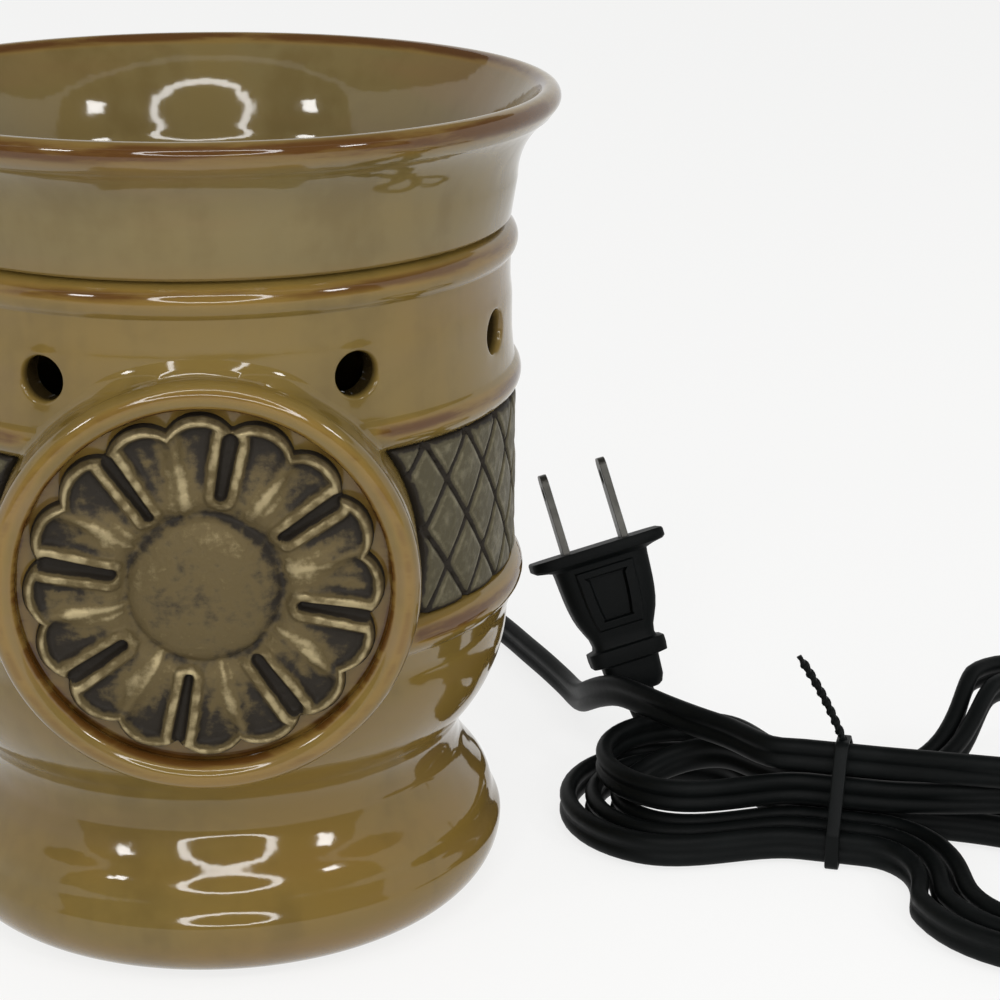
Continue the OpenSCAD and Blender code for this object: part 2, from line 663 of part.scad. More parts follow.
function lobe_run(u, bend, reach, v0, v1, z0, z, roll = 0, lift = 0) =
    let (f = ease((u - waist_len) / (reach - waist_len)))
    lobe_point(lobe_line(u, bend, reach), v0 + (v1 - v0) * f, z0, z, f, roll, lift);

// one lobe out from the waist and back: columns, loop radii and levels going out and coming back
function lobe(bend, reach, v_out, v_back, r_out, r_back, z_out, z_back, roll = 0, lift = 0) =
    let (r = (r_out + r_back) / 2, turn = PI * r, climb = 0.55 * turn + 0.27 * reach, rise = z_back - z_out)
    let (end = lobe_line(reach, bend, reach), ahead = r * [cos(end[2]), sin(end[2]), 0])
    concat([for (i = [1:run_steps])
            lobe_run(reach * i / run_steps, bend, reach, v_out, r_out, z_out, z_out, roll, lift)],
        [for (i = [1:arc_steps]) let (a = 90 - 180 * i / arc_steps, s = turn * i / arc_steps)
            lobe_point(end + cos(a) * ahead, (r_out - r_back) / 2 + r * sin(a), z_out,
                z_out + rise * ease((s - 0.45 * turn) / climb), 1, roll, lift)],
        [for (i = [run_steps - 1:-1:0]) let (u = reach * i / run_steps)
            lobe_run(u, bend, reach, v_back, -r_back, z_out,
                z_out + rise * ease((0.55 * turn + reach - u) / climb), roll, lift)]);

function placed(points, a) =
    [for (p = points) let (q = turned(p, hank_turn + a), n = turned([p[3], p[4]], hank_turn + a))
        [hank_mid[0] + q[0], hank_mid[1] + q[1], p[2], n[0], n[1], p[5]]];

function right_lobe(i) =
    let (k = i < 3 ? 0 : 1, j = k == 0 ? 2 - i : i - 3, r = loop(j) + 1, back = i == 4 ? 0 : j)
    placed(lobe(right_bend[k], right_reach[k], column(j), -column(back), r, r, level(1 + k),
        level(i == 4 ? 3 : 1 + k), right_roll[k], right_lift[k]), 0);

left_out = [2, 1, 0, 0];
left_back = [1, 0, -1, 1];
left_low = [1, 1, 1, 2];
left_high = [1, 1, 2, 2];
function left_lobe(i) =
    placed(lobe(left_bend, left_reach, column(left_out[i]), -column(max(left_back[i], 0)),
        loop(left_out[i]), loop(left_back[i]), level(left_low[i]), level(left_high[i])), 180);

// the first run comes in along the outer side of the left lobes, the last ends straight on the waist
function first_point(u) =
    lobe_run(u, left_bend, left_reach, -column(2), -loop(2), level(1), level(1));
function first_run() =
    placed(concat([first_point(left_reach) + cord_w * [cos(left_bend), sin(left_bend), 0, 0, 0, 0]],
        [for (i = [run_steps:-1:0]) first_point(left_reach * i / run_steps)]), 180);

hank_line = concat(first_run(), right_lobe(0), left_lobe(0), right_lobe(1), left_lobe(1), right_lobe(2),
    left_lobe(2), right_lobe(3), left_lobe(3), right_lobe(4),
    placed([[-cord_w - 1, -column(0), level(3), 0, 0, 1]], 0));
hank_path = [for (p = hank_line) [p[0], p[1], p[2]]];
hank_edge = [for (p = hank_line) [p[3], p[4], p[5]]];
hank_start = hank_path[0];
hank_end = hank_path[len(hank_path) - 1];

// least gap of the hank to itself, on its points and half-way between them
function hank_gap() =
    let (p = [for (i = [0:len(hank_path) - 2]) each [hank_path[i], (hank_path[i] + hank_path[i + 1]) / 2]])
    min([for (i = [0:len(p) - 1], j = [i + 12:1:len(p) - 1])
        let (d = p[j] - p[i], e = hank_edge[floor(i / 2)], up = d * e)
        max(norm(d - up * e) - cord_t, abs(up) - cord_w)]);

module cord_hank() color(black) {
    echo(hank_rings = len(hank_path), hank_least_gap = hank_gap());
    flat_cord(hank_path, flat_6, edge = hank_edge);
}

// the tie's band follows the bundle's stepped outline at the waist
function band(t) =
    let (c = 0.3 + t, h = cord_t / 2, top = cord_w / 2)
    let (x1 = column(2) + h + c, x2 = column(1) + h + c, x3 = column(0) + h + c)
    [[-x1, level(1) - top - c], [x1, level(1) - top - c], [x1, level(1) + top], [x2, level(2) + top],
     [-x3 + 2 * h + 2 * c, level(3) + top + c], [-x3, level(3) + top + c], [-x2, level(2) + top],
     [-x1, level(1) + top]];
tie_tail = 20;

module hank_tie() color(black) translate([hank_mid[0], hank_mid[1], 0]) rotate([0, 0, hank_turn]) {
    rotate([90, 0, 90]) translate([0, 0, -tie_w / 2]) linear_extrude(tie_w) difference() {
        polygon(band(tie_t));
        polygon(band(0));
    }
    translate([0, -column(0), level(3) + cord_w / 2 + 0.3 + tie_t / 2]) rotate([0, -28, 20])
        cylinder(r = 1, h = tie_tail);
}

// plug

plug_way = [-sin(plug_side), cos(plug_side) * sin(plug_back), cos(plug_side) * cos(plug_back)];
plug_flat = [0, -cos(plug_back), sin(plug_back)];
plug_root = hank_start + [-12.5, 10.3, 9.5];
tail_way = [cos(hank_turn + 180 + left_bend), sin(hank_turn + 180 + left_bend), 0];
tail_ends = [hank_start + 2 * tail_way, plug_root - 2 * plug_way];
tail_steps = 6;

// the tail lifts off the table in one bend and turns its flat side to the plug's
function tail_point(i) =
    let (t = i / tail_steps, a = tail_ends[0], d = tail_ends[1], b = a + 6 * tail_way, c = d - 6 * plug_way)
    pow(1 - t, 3) * a + 3 * t * pow(1 - t, 2) * b + 3 * t * t * (1 - t) * c + pow(t, 3) * d;

module cord_tail() color(black)
    flat_cord(concat([hank_start], [for (i = [0:tail_steps]) tail_point(i)], [plug_root]), flat_8,
        [-tail_way[1], tail_way[0], 0], plug_flat);

module at_plug() translate(plug_root) rotate([-plug_back, 0, 0]) rotate([0, -plug_side, 0]) children();

// height, half width and half thickness of the plug's sections, from the neck to the blade face
plug_rings = [[0, 0.36, 0.56], [0.05, 0.40, 0.62], [0.19, 0.42, 0.64], [0.2, 0.56, 0.74], [0.3, 0.57, 0.76],
    [0.32, 0.48, 0.68], [0.36, 0.47, 0.66], [0.5, 0.58, 0.72], [0.7, 0.67, 0.78], [0.86, 0.69, 0.8],
    [0.9, 0.78, 0.86], [0.93, 1, 1], [1, 1, 1]];
plug_sides = 32;

function plug_ring(g) = [for (i = [0:plug_sides - 1])
    let (a = 360 * (i + 0.5) / plug_sides, c = cos(a), s = sin(a))
    [g[1] * plug_w / 2 * sign(c) * pow(abs(c), 0.6), g[2] * plug_t / 2 * sign(s) * pow(abs(s), 0.6),
     g[0] * plug_len]];

module plug_body() color(black) at_plug() {
    m = plug_sides;
    n = len(plug_rings);
    sides = [for (i = [0:n - 2], j = [0:m - 1])
        let (a = i * m + j, b = i * m + (j + 1) % m, c = a + m, d = b + m) each [[a, c, b], [b, c, d]]];
    caps = [for (j = [1:m - 2]) let (e = (n - 1) * m) each [[0, j, j + 1], [e, e + j + 1, e + j]]];
    polyhedron([for (g = plug_rings) each plug_ring(g)], concat(sides, caps));
}

module plug_blades() color(steel) at_plug() for (s = [-1, 1])
    translate([s * blade_gap / 2, 0, plug_len]) rotate([0, 90, 0]) translate([0, 0, -blade_t / 2])
        difference() {
            linear_extrude(blade_t) polygon([[0, -blade_w / 2], [0, blade_w / 2],
                [1.5 - blade_len, blade_w / 2], [-blade_len, blade_w / 4],
                [-blade_len, -blade_w / 4], [1.5 - blade_len, -blade_w / 2]]);
            translate([4 - blade_len, 0, -1]) cylinder(d = 3.2, h = blade_t + 2);
        }

// in-line switch

screw_at = switch_len / 2 - 6.5;
pivot_z = switch_low + switch_top - 2;
window = [rocker_len + 2 * (0.6 + clear), rocker_w + 2 * clear];
ear_t = 2;

module rounded(l, w, r) {
    square([l - 2 * r, w], center = true);
    square([l, w - 2 * r], center = true);
    for (x = [-1, 1], y = [-1, 1]) translate([x * (l / 2 - r), y * (w / 2 - r)]) circle(r = r);
}

module switch_posts(z, h) for (s = [-1, 1]) translate([s * screw_at, 0, z]) cylinder(r = 3.6, h = h);

module switch_lower() color(black) translate(switch_mid) difference() {
    union() {
        difference() {
            linear_extrude(switch_low) rounded(switch_len, switch_w, 5);
            translate([0, 0, switch_wall])
                linear_extrude(switch_low) rounded(switch_len - 2 * switch_wall, switch_w - 2 * switch_wall, 3);
        }
        switch_posts(0.5, switch_low - 0.5);
        for (s = [-1, 1]) translate([s * (switch_len / 2 - 1), 0, nose_z]) rotate([0, s * 90, 0])
            cylinder(r = cord_w / 2 + 0.6, h = nose_len + 1);
    }
    for (s = [-1, 1]) translate([s * screw_at, 0, -1]) {
        cylinder(r = 1.5 + fit, h = switch_low + 2);
        cylinder(r = 2.7, h = 3);
    }
}

module switch_upper() color(black) translate(switch_mid) difference() {
    union() {
        translate([0, 0, switch_low]) difference() {
            linear_extrude(switch_top) rounded(switch_len, switch_w, 5);
            translate([0, 0, -1]) linear_extrude(switch_top - switch_wall + 1)
                rounded(switch_len - 2 * switch_wall, switch_w - 2 * switch_wall, 3);
        }
        switch_posts(switch_low, switch_top - 1);
        for (s = [-1, 1]) translate([-4, s * (window[1] + ear_t) / 2 - ear_t / 2, pivot_z - 3])
            cube([8, ear_t, 4.5]);
    }
    translate([-window[0] / 2, -window[1] / 2, switch_low]) cube([window[0], window[1], switch_top + 1]);
    for (s = [-1, 1]) translate([s * screw_at, 0, switch_low - 1]) cylinder(r = 1.5 + fit, h = switch_top - 2);
    translate([0, 0, pivot_z]) rotate([90, 0, 0])
        cylinder(r = pivot_r + pivot_fit, h = window[1] + 2 * ear_t + 2, center = true);
}

module switch_rocker() color(black) translate(switch_mid + [0, 0, pivot_z]) rotate([0, rocker_tilt, 0]) {
    rotate([90, 0, 0]) translate([0, 0, -rocker_w / 2]) linear_extrude(rocker_w)
        polygon([[-rocker_len / 2, -1.8], [rocker_len / 2, -1.8], [rocker_len / 2, 3.2], [0, 1.9],
            [-rocker_len / 2, 3.2]]);
    rotate([90, 0, 0]) cylinder(r = pivot_r, h = rocker_w + 2 * clear + 2 * ear_t - 0.6, center = true);
}

module switch_contacts() color(brass) translate(switch_mid + [0, 0, switch_wall]) for (s = [-1, 1]) {
    translate([s * 10 - 4, -7, 0]) cube([8, 3, 4]);
    translate([s * 6 - 5, 4, 0]) cube([9, 3, 3.4]);
}

module switch_screws() color(steel) translate(switch_mid) for (s = [-1, 1]) translate([s * screw_at, 0, 0]) {
    translate([0, 0, 0.6]) cylinder(r = 2.6, h = 1.4);
    translate([0, 0, 0.6]) cylinder(r = 1.5, h = switch_low + switch_top - 4.4);
}

warmer_body();
warming_dish();
front_rosette();
rear_rosette();
left_panel();
right_panel();
base_plate();
rubber_feet();
clamp_stud();
stud_nuts();
socket_bracket();
bracket_rivet();
socket_cup();
screw_shell();
centre_contact();
terminal_screws();
lamp_leads();
lamp_glass();
lamp_cap();
lamp_insulator();
lamp_tip();
lamp_stem();
lamp_filament();
strain_relief();
cord_to_switch();
cord_to_hank();
cord_hank();
cord_tail();
hank_tie();
plug_body();
plug_blades();
switch_lower();
switch_upper();
switch_rocker();
switch_contacts();
switch_screws();
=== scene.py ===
"""Electric wax warmer: the dressed pieces, their finishes, and a stage with a camera."""

import json
from math import asin, atan2, ceil, cos, degrees, exp, floor, hypot, pi, radians, sin, sqrt, tan

import bmesh
import bpy
from bpy.props import FloatProperty, FloatVectorProperty, IntProperty, PointerProperty
from mathutils import Matrix, Vector, noise
from mathutils.bvhtree import BVHTree

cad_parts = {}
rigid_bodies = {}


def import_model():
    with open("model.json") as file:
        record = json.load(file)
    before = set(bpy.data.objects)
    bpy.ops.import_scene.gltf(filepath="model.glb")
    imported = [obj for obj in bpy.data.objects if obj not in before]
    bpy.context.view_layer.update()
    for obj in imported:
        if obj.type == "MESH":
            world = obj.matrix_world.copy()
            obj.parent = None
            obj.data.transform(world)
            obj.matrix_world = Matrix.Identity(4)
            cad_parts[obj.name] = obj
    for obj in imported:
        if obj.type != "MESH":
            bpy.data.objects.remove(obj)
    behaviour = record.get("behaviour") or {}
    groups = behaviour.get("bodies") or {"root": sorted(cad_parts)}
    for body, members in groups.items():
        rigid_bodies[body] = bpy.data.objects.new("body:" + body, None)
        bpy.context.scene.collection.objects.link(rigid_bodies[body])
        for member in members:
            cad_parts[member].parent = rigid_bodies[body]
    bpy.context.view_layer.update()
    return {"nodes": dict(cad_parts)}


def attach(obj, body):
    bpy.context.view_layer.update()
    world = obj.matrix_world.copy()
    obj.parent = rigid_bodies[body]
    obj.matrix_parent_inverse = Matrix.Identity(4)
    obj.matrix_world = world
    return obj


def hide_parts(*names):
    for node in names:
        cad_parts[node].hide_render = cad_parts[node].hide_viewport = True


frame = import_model()

bl_info = {
    "name": "Electric Wax Warmer",
    "version": (1, 0, 0),
    "blender": (4, 5, 0),
    "location": "View3D > Sidebar > Wax Warmer",
    "description": "Builds a glazed wax warmer with its dish, medallions, lamp, cord and plug",
    "category": "Object",
}

# steps round a glazed turning, a full turn, the shortest length that counts, the least bend that is rounded
GLAZED, TURN, TINY, HARD_CORNER = 192, 2 * pi, 1e-6, radians(20)


# sizes and colours


def size(name, text, mm):
    """A length that the user may change; its default is given in millimetres."""
    kind = {"precision": 4, "subtype": "DISTANCE", "unit": "LENGTH"}
    return FloatProperty(name=name, description=text, default=mm / 1000, min=0, **kind)


def angle(name, text, turn):
    """An angle that the user may change; its default is given in degrees."""
    kind = {"subtype": "ANGLE", "unit": "ROTATION"}
    return FloatProperty(name=name, description=text, default=radians(turn), **kind)


def colour(name, text, rgb):
    """A colour that the user may change, in linear light."""
    kind = {"size": 3, "subtype": "COLOR"}
    return FloatVectorProperty(name=name, description=text, default=rgb, min=0, max=1, **kind)


class BodyShape(bpy.types.PropertyGroup):
    foot_r: size("Foot radius", "Largest radius of the round foot", 52.3)
    foot_round: size("Foot rounding", "Radius of the foot's round edge", 11)
    foot_z: size("Foot height", "Height of the foot's widest point", 11.5)
    foot_lift: size("Foot lift", "Height of the ceramic above the table", 0.8)
    waist_r: size("Waist radius", "Radius at the waist", 44.4)
    waist_z: size("Waist height", "Height of the waist", 29.3)
    waist_round: size("Waist rounding", "Radius of the waist's hollow curve", 10)
    drum_r: size("Drum radius", "Radius of the drum under the lower ridge", 53.3)
    drum_z: size("Drum height", "Height at which the drum's lower curve ends", 54)
    low_ridge_r: size("Lower ridge radius", "Crest radius of the lower ridge", 56.1)
    low_ridge_z: size("Lower ridge height", "Height of the lower ridge", 61)
    top_ridge_r: size("Upper ridge radius", "Crest radius of the upper ridge", 55.6)
    top_ridge_z: size("Upper ridge height", "Height of the upper ridge", 98)
    ridge_round: size("Ridge rounding", "Radius of each ridge's rounding", 3.5)
    neck_r: size("Neck radius", "Radius of the neck above the upper ridge", 53.9)
    shoulder_r: size("Shoulder radius", "Crest radius of the shoulder bead", 54.9)
    shoulder_z: size("Shoulder height", "Height of the shoulder bead", 122)
    shoulder_round: size("Shoulder rounding", "Radius of the shoulder bead's rounding", 3.2)
    seat_z: size("Seat height", "Height of the seat that the dish stands on", 125.5)
    mouth_r: size("Mouth radius", "Radius of the opening that the dish drops into", 46.8)
    chamber_r: size("Chamber radius", "Radius of the lamp chamber", 49)
    groove_r: size("Band radius", "Radius of the band that carries the quilted panels", 51.6)
    vent_r: size("Vent radius", "Radius of each vent hole", 3.7)
    vent_z: size("Vent height", "Height of the vent holes", 108.7)
    boss_z: size("Boss height", "Height of the two round bosses", 75.5)
    boss_r: size("Boss radius", "Root radius of a boss", 35.2)
    ring_r: size("Ring radius", "Crest radius of the boss ring", 32.6)
    ring_round: size("Ring rounding", "Radius of the boss ring's rounding", 2.4)
    boss_front: size("Ring reach", "Distance of the boss ring's crest from the middle", 58.2)
    recess_at: size("Recess reach", "Distance of the boss recess from the middle", 53.6)


class DishShape(bpy.types.PropertyGroup):
    seat: size("Seat height", "Height of the dish's seat", 125.6)
    step: size("Step depth", "Depth of the step that drops into the body", 5)
    step_r: size("Step radius", "Radius of that step", 45.8)
    wall_r: size("Wall radius", "Radius of the dish's wall at its seat", 53.7)
    top: size("Rim height", "Height of the rim's top", 148.9)
    rim_r: size("Rim radius", "Outer radius of the rim", 62.2)
    rim_round: size("Rim rounding", "Radius of the rim's rounding", 2.1)
    flare: size("Flare radius", "Radius of the flare under the rim", 13.5)
    floor: size("Floor thickness", "Floor thickness of the dish", 4.2)
    corner: size("Corner radius", "Radius of the curve between floor and wall", 9)
    inside: size("Inside flare", "Radius of the wide flare of the inside wall", 40)


class MedallionShape(bpy.types.PropertyGroup):
    rosette_r: size("Rosette radius", "Radius of a rosette", 29.2)
    plate: size("Plate thickness", "Thickness of a rosette's plate", 1.2)
    petal_h: size("Petal height", "Height of the petals above the plate", 2.8)
    dome_h: size("Dome height", "Height of the middle dome above the plate", 3.6)
    dome_r: size("Dome radius", "Radius of the middle dome", 11.6)
    petals: IntProperty(name="Petals", description="Number of double petals", default=8, min=3)
    turn: angle("First slot", "Angle of the first slot between petals", 34)
    panel_r: size("Panel radius", "Outer radius of the quilted panels", 54.7)
    diamond_w: size("Diamond width", "Width of a diamond", 11.4)
    diamond_h: size("Diamond height", "Height of a diamond", 15.2)


class CordShape(bpy.types.PropertyGroup):
    width: size("Cord width", "Width of the flat cord", 6.4)
    thick: size("Cord thickness", "Thickness of the flat cord", 3.3)
    exit_turn: angle("Exit direction", "Direction in which the cord leaves the body", 130)
    exit_z: size("Exit height", "Height at which the cord leaves the body", 10.7)
    tail_reach: size("Relief reach", "Reach of the strain relief's tail from the middle", 76)
    hank_turn: angle("Hank turn", "Turn of the hank on the table", -18)
    pitch: size("Side pitch", "Pitch between cords side by side in the hank", 5)
    layer_gap: size("Layer gap", "Gap between layers of the hank", 0.6)
    loop_r: size("Loop radius", "Bend radius of the hank's smallest loop", 15)
    tie_t: size("Tie thickness", "Thickness of the tie's band", 0.6)
    tie_w: size("Tie width", "Width of the tie's band", 2.6)


class PlugShape(bpy.types.PropertyGroup):
    side: angle("Plug lean", "Lean of the plug to the left", 16)
    back: angle("Plug lean back", "Lean of the plug to the back", 18)
    length: size("Plug length", "Length of the plug body", 31)
    width: size("Flange width", "Width of the plug's flange", 28.5)
    thick: size("Flange thickness", "Thickness of the plug's flange", 14.5)
    blade_gap: size("Blade spacing", "Distance between the blades", 12.7)
    blade_len: size("Blade length", "Length of a blade", 17.5)
    blade_w: size("Blade width", "Width of a blade", 6.3)
    blade_t: size("Blade thickness", "Thickness of a blade", 1.5)


class Finishes(bpy.types.PropertyGroup):
    glaze: colour("Glaze", "Olive-tan body of the glaze", (0.176, 0.122, 0.033))
    stone: colour("Stone", "Greyer glaze of the dish", (0.166, 0.127, 0.05))
    ochre: colour("Ochre", "Warmer patches of the glaze", (0.188, 0.119, 0.026))
    blush: colour("Blush", "Pinkish tan bands of the glaze", (0.19, 0.12, 0.047))
    halo: colour("Halo", "Golden orange beside the thin edges", (0.225, 0.13, 0.026))
    break_tint: colour("Break", "Reddish brown where the glaze thins on an edge", (0.078, 0.028, 0.005))
    gold: colour("Gold", "Bright bronze on the high points", (0.37, 0.3, 0.165))
    bronze: colour("Bronze", "Middle tone of the bronze", (0.12, 0.089, 0.04))
    pewter: colour("Pewter", "Greyer middle tone of the quilted panels", (0.092, 0.08, 0.048))
    pale: colour("Pale bronze", "Bright tone of the quilted panels", (0.2, 0.178, 0.115))
    # the patina colour also fills the painted shade in the rosettes' slots, creases and outer edges and along
    # the panels' edges
    patina: colour("Patina", "Dark colour in the hollows", (0.022, 0.0175, 0.0125))
    black: colour("Black", "Black vinyl of cord and plug", (0.0022, 0.003, 0.003))
    backdrop: colour("Backdrop", "Pale colour behind the object", (0.922, 0.924, 0.918))


class WarmerSettings(bpy.types.PropertyGroup):
    body: PointerProperty(type=BodyShape, name="Body", description="Sizes of the ceramic body")
    dish: PointerProperty(type=DishShape, name="Dish", description="Sizes of the dish")
    medallion: PointerProperty(type=MedallionShape, name="Medallions", description="Sizes of the cast bronze")
    cord: PointerProperty(type=CordShape, name="Cord", description="Sizes of the cord and its hank")
    plug: PointerProperty(type=PlugShape, name="Plug", description="Sizes of the plug")
    finish: PointerProperty(type=Finishes, name="Finishes", description="Colours of the finishes")


class Sizes:
    """A group's values with its lengths in millimetres, the unit in which the shapes are drawn."""

    def __init__(self, group):
        for key, prop in group.bl_rna.properties.items():
            if key not in {"rna_type", "name"}:
                value = getattr(group, key)
                setattr(self, key, value * 1000 if prop.unit == "LENGTH" else value)


def settings(context, *groups):
    """The sizes of the named groups and, last, the finishes."""
    ours = context.scene.wax_warmer
    return [*(Sizes(getattr(ours, group)) for group in groups), ours.finish]


# drawing


def arc(c, r, a0, a1, n=24):
    """Points of an arc about c; angles in degrees."""
    turns = [radians(a0 + (a1 - a0) * i / n) for i in range(n + 1)]
    return [(c[0] + r * cos(a), c[1] + r * sin(a)) for a in turns]


def softened(points, r, closed=True):
    """The outline with a small rounding on each hard corner."""
    made = []
    for i, p in enumerate(points):
        b = Vector(p)
        u, w = Vector(points[i - 1]) - b, Vector(points[(i + 1) % len(points)]) - b
        free_end = not closed and i in (0, len(points) - 1)
        if free_end or min(u.length, w.length) < TINY or pi - u.angle(w) < HARD_CORNER:
            made.append(b)
            continue
        reach = min(r * tan((pi - u.angle(w)) / 2), 0.45 * u.length, 0.45 * w.length)
        start, end = b + u.normalized() * reach, b + w.normalized() * reach
        made += [start.lerp(b, t).lerp(b.lerp(end, t), t) for t in (0, 0.25, 0.5, 0.75, 1)]
    return made


def divided(points, longest, closed=True):
    """The outline with no stretch longer than the given length."""
    made = []
    ends = points[1:] + points[:1] if closed else points[1:]
    for a, b in zip(points, ends):
        n = max(1, ceil((Vector(b) - Vector(a)).length / longest))
        made += [Vector(a).lerp(Vector(b), i / n) for i in range(n)]
    return made if closed else made + [Vector(points[-1])]


def step(x, low=0.0, high=1.0):
    """Smooth step from 0 at low to 1 at high."""
    t = min(max((x - low) / (high - low), 0), 1)
    return t * t * (3 - 2 * t)


def bump(x, middle, half):
    """A smooth hump, 1 in the middle and 0 at half its width away."""
    return 1 - step(abs(x - middle), 0, half)


def spun(points, closed=True, steps=GLAZED):
    """A bmesh turned on the Z axis from an outline of radius and height."""
    bm = bmesh.new()
    verts = [bm.verts.new((p[0], 0, p[1])) for p in points]
    pairs = zip(verts, verts[1:] + verts[:1]) if closed else zip(verts, verts[1:])
    edges = [bm.edges.new(pair) for pair in pairs]
    around = {"cent": (0, 0, 0), "axis": (0, 0, 1), "angle": TURN, "use_merge": True}
    bmesh.ops.spin(bm, geom=verts + edges, steps=steps, **around)
    bmesh.ops.remove_doubles(bm, verts=bm.verts[:], dist=1e-4)
    bmesh.ops.recalc_face_normals(bm, faces=bm.faces[:])
    return bm


def points_of(geom):
    """The points among the things that a bmesh operator made."""
    return [g for g in geom if isinstance(g, bmesh.types.BMVert)]


def extruded(bm, edges):
    """Draws an edge loop out once; gives its new points and edges, which still have to be placed."""
    made = bmesh.ops.extrude_edge_only(bm, edges=edges)["geom"]
    return points_of(made), [g for g in made if isinstance(g, bmesh.types.BMEdge)]


def moved(bm, matrix):
    """The bmesh, placed by a matrix."""
    bmesh.ops.transform(bm, matrix=matrix, verts=bm.verts[:])
    return bm


def swept(outline, places, ends=True):
    """A bmesh of an outline carried through placing matrices, made in short stretches joined end to end."""
    bm = bmesh.new()
    stretch_n = 16
    for k in range(0, len(places) - 1, stretch_n):
        run = places[k : k + stretch_n + 1]
        part = bmesh.new()
        verts = [part.verts.new(run[0] @ Vector((p[0], p[1], 0))) for p in outline]
        edges = [part.edges.new(pair) for pair in zip(verts, verts[1:] + verts[:1])]
        for a, b in zip(run, run[1:]):
            verts, edges = extruded(part, edges)
            bmesh.ops.transform(part, matrix=b @ a.inverted(), verts=verts)
        joined(bm, part)
    bmesh.ops.remove_doubles(bm, verts=bm.verts[:], dist=1e-4)
    if ends:
        bmesh.ops.edgeloop_fill(bm, edges=[e for e in bm.edges if e.is_boundary])
    bmesh.ops.recalc_face_normals(bm, faces=bm.faces[:])
    return bm


def joined(bm, other, matrix=Matrix()):
    """The other bmesh, placed by a matrix, is added to this one."""
    mesh = bpy.data.meshes.new("joined")
    moved(other, matrix).to_mesh(mesh)
    other.free()
    bm.from_mesh(mesh)
    bpy.data.meshes.remove(mesh)
    return bm


def rounded_box(w, h, r, n=8):
    """Outline of a rectangle with rounded corners."""
    x, y = w / 2 - r, h / 2 - r
    corners = [(x, y, 0), (-x, y, 90), (-x, -y, 180), (x, -y, 270)]
    return [p for u, v, a in corners for p in arc((u, v), r, a, a + 90, n)]


def stretch(x, y, z, at=(0, 0, 0)):
    """A placing matrix that stretches an outline and sets it at a point."""
    return Matrix.Translation(at) @ Matrix.Diagonal((x, y, z, 1))


def piece(name, bm, finish, body, *nodes, slot=None, sharp=40, bevel=0):
    """A finished piece of the object from a bmesh in millimetres, riding on its body."""
    bmesh.ops.scale(bm, vec=(0.001,) * 3, verts=bm.verts[:])
    for face in bm.faces:
        face.smooth = True
    for edge in bm.edges:
        edge.smooth = len(edge.link_faces) != 2 or edge.calc_face_angle(0) < radians(sharp)
    mesh = bpy.data.meshes.new(name)
    bm.to_mesh(mesh)
    bm.free()
    mesh.materials.append(finish)
    obj = bpy.data.objects.new(name, mesh)
    bpy.context.collection.objects.link(obj)
    if bevel:
        soft = obj.modifiers.new("Soft edges", "BEVEL")
        soft.width, soft.segments, soft.harden_normals = bevel / 1000, 3, True
        soft.limit_method, soft.angle_limit = "ANGLE", radians(sharp)
    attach(obj, body)
    if nodes:
        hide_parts(*nodes)
    return obj


# finishes


class Shade:
    """A node's output that takes part in sums: an expression on values adds its Math nodes."""

    def __init__(self, tree, socket=None):
        self.tree, self.socket = tree, socket

    def node(self, kind, choices=None, sockets=None, out=0):
        """A node of any kind: its choices are set first, then the values or links of its sockets."""
        made = self.tree.nodes.new(kind)
        for key, value in (choices or {}).items():
            setattr(made, key, value)
        for key, value in (sockets or {}).items():
            if isinstance(value, Shade):
                self.tree.links.new(value.socket, made.inputs[key])
            else:
                made.inputs[key].default_value = value
        return Shade(self.tree, made.outputs[out])

    def sum(self, operation, a, b):
        return self.node("ShaderNodeMath", {"operation": operation}, {0: a, 1: b})

    def __add__(self, other):
        return self.sum("ADD", self, other)

    def __sub__(self, other):
        return self.sum("SUBTRACT", self, other)

    def __rsub__(self, other):
        return self.sum("SUBTRACT", other, self)

    def __mul__(self, other):
        return self.sum("MULTIPLY", self, other)

    __radd__, __rmul__ = __add__, __mul__

    def between(self, low, high):
        """0 at the low value, 1 at the high one, smooth between them."""
        sockets = {"Value": self, "From Min": low, "From Max": high}
        return self.node("ShaderNodeMapRange", {"interpolation_type": "SMOOTHSTEP"}, sockets)

    def blend(self, a, b):
        """Colour a where this value is 0 and b where it is 1."""
        a, b = ((*c, 1) if not isinstance(c, Shade) else c for c in (a, b))
        return self.node("ShaderNodeMix", {"data_type": "RGBA"}, {0: self, 6: a, 7: b}, 2)

    def place(self, scale=(1, 1, 1), turn=(0, 0, 0)):
        """Object coordinates, scaled and turned."""
        coords = self.node("ShaderNodeTexCoord", out="Object")
        return self.node("ShaderNodeMapping", sockets={"Vector": coords, "Scale": scale, "Rotation": turn})

    def cloud(self, scale, detail=3.0, rough=0.5, at=None):
        """Noise of a given scale, about 0 to 1."""
        at = at or self.place()
        sockets = {"Vector": at, "Scale": scale, "Detail": detail, "Roughness": rough}
        return self.node("ShaderNodeTexNoise", sockets=sockets)

    def painted(self, name):
        """A value that the piece carries on its points."""
        return self.node("ShaderNodeAttribute", {"attribute_name": name}, out="Fac")

    def relief(self, height, depth, strength=1.0):
        """A bump of a height in millimetres for the Normal socket."""
        sockets = {"Height": height, "Distance": depth / 1000, "Strength": strength}
        return self.node("ShaderNodeBump", sockets=sockets, out="Normal")

    def shown(self):
        """1 for rays from the camera, from gloss and through glass, and 0 for the others."""
        kinds = ("Camera", "Glossy", "Transmission")
        rays = [self.node("ShaderNodeLightPath", out=f"Is {kind} Ray") for kind in kinds]
        return (rays[0] + rays[1] + rays[2]).between(0, 1)


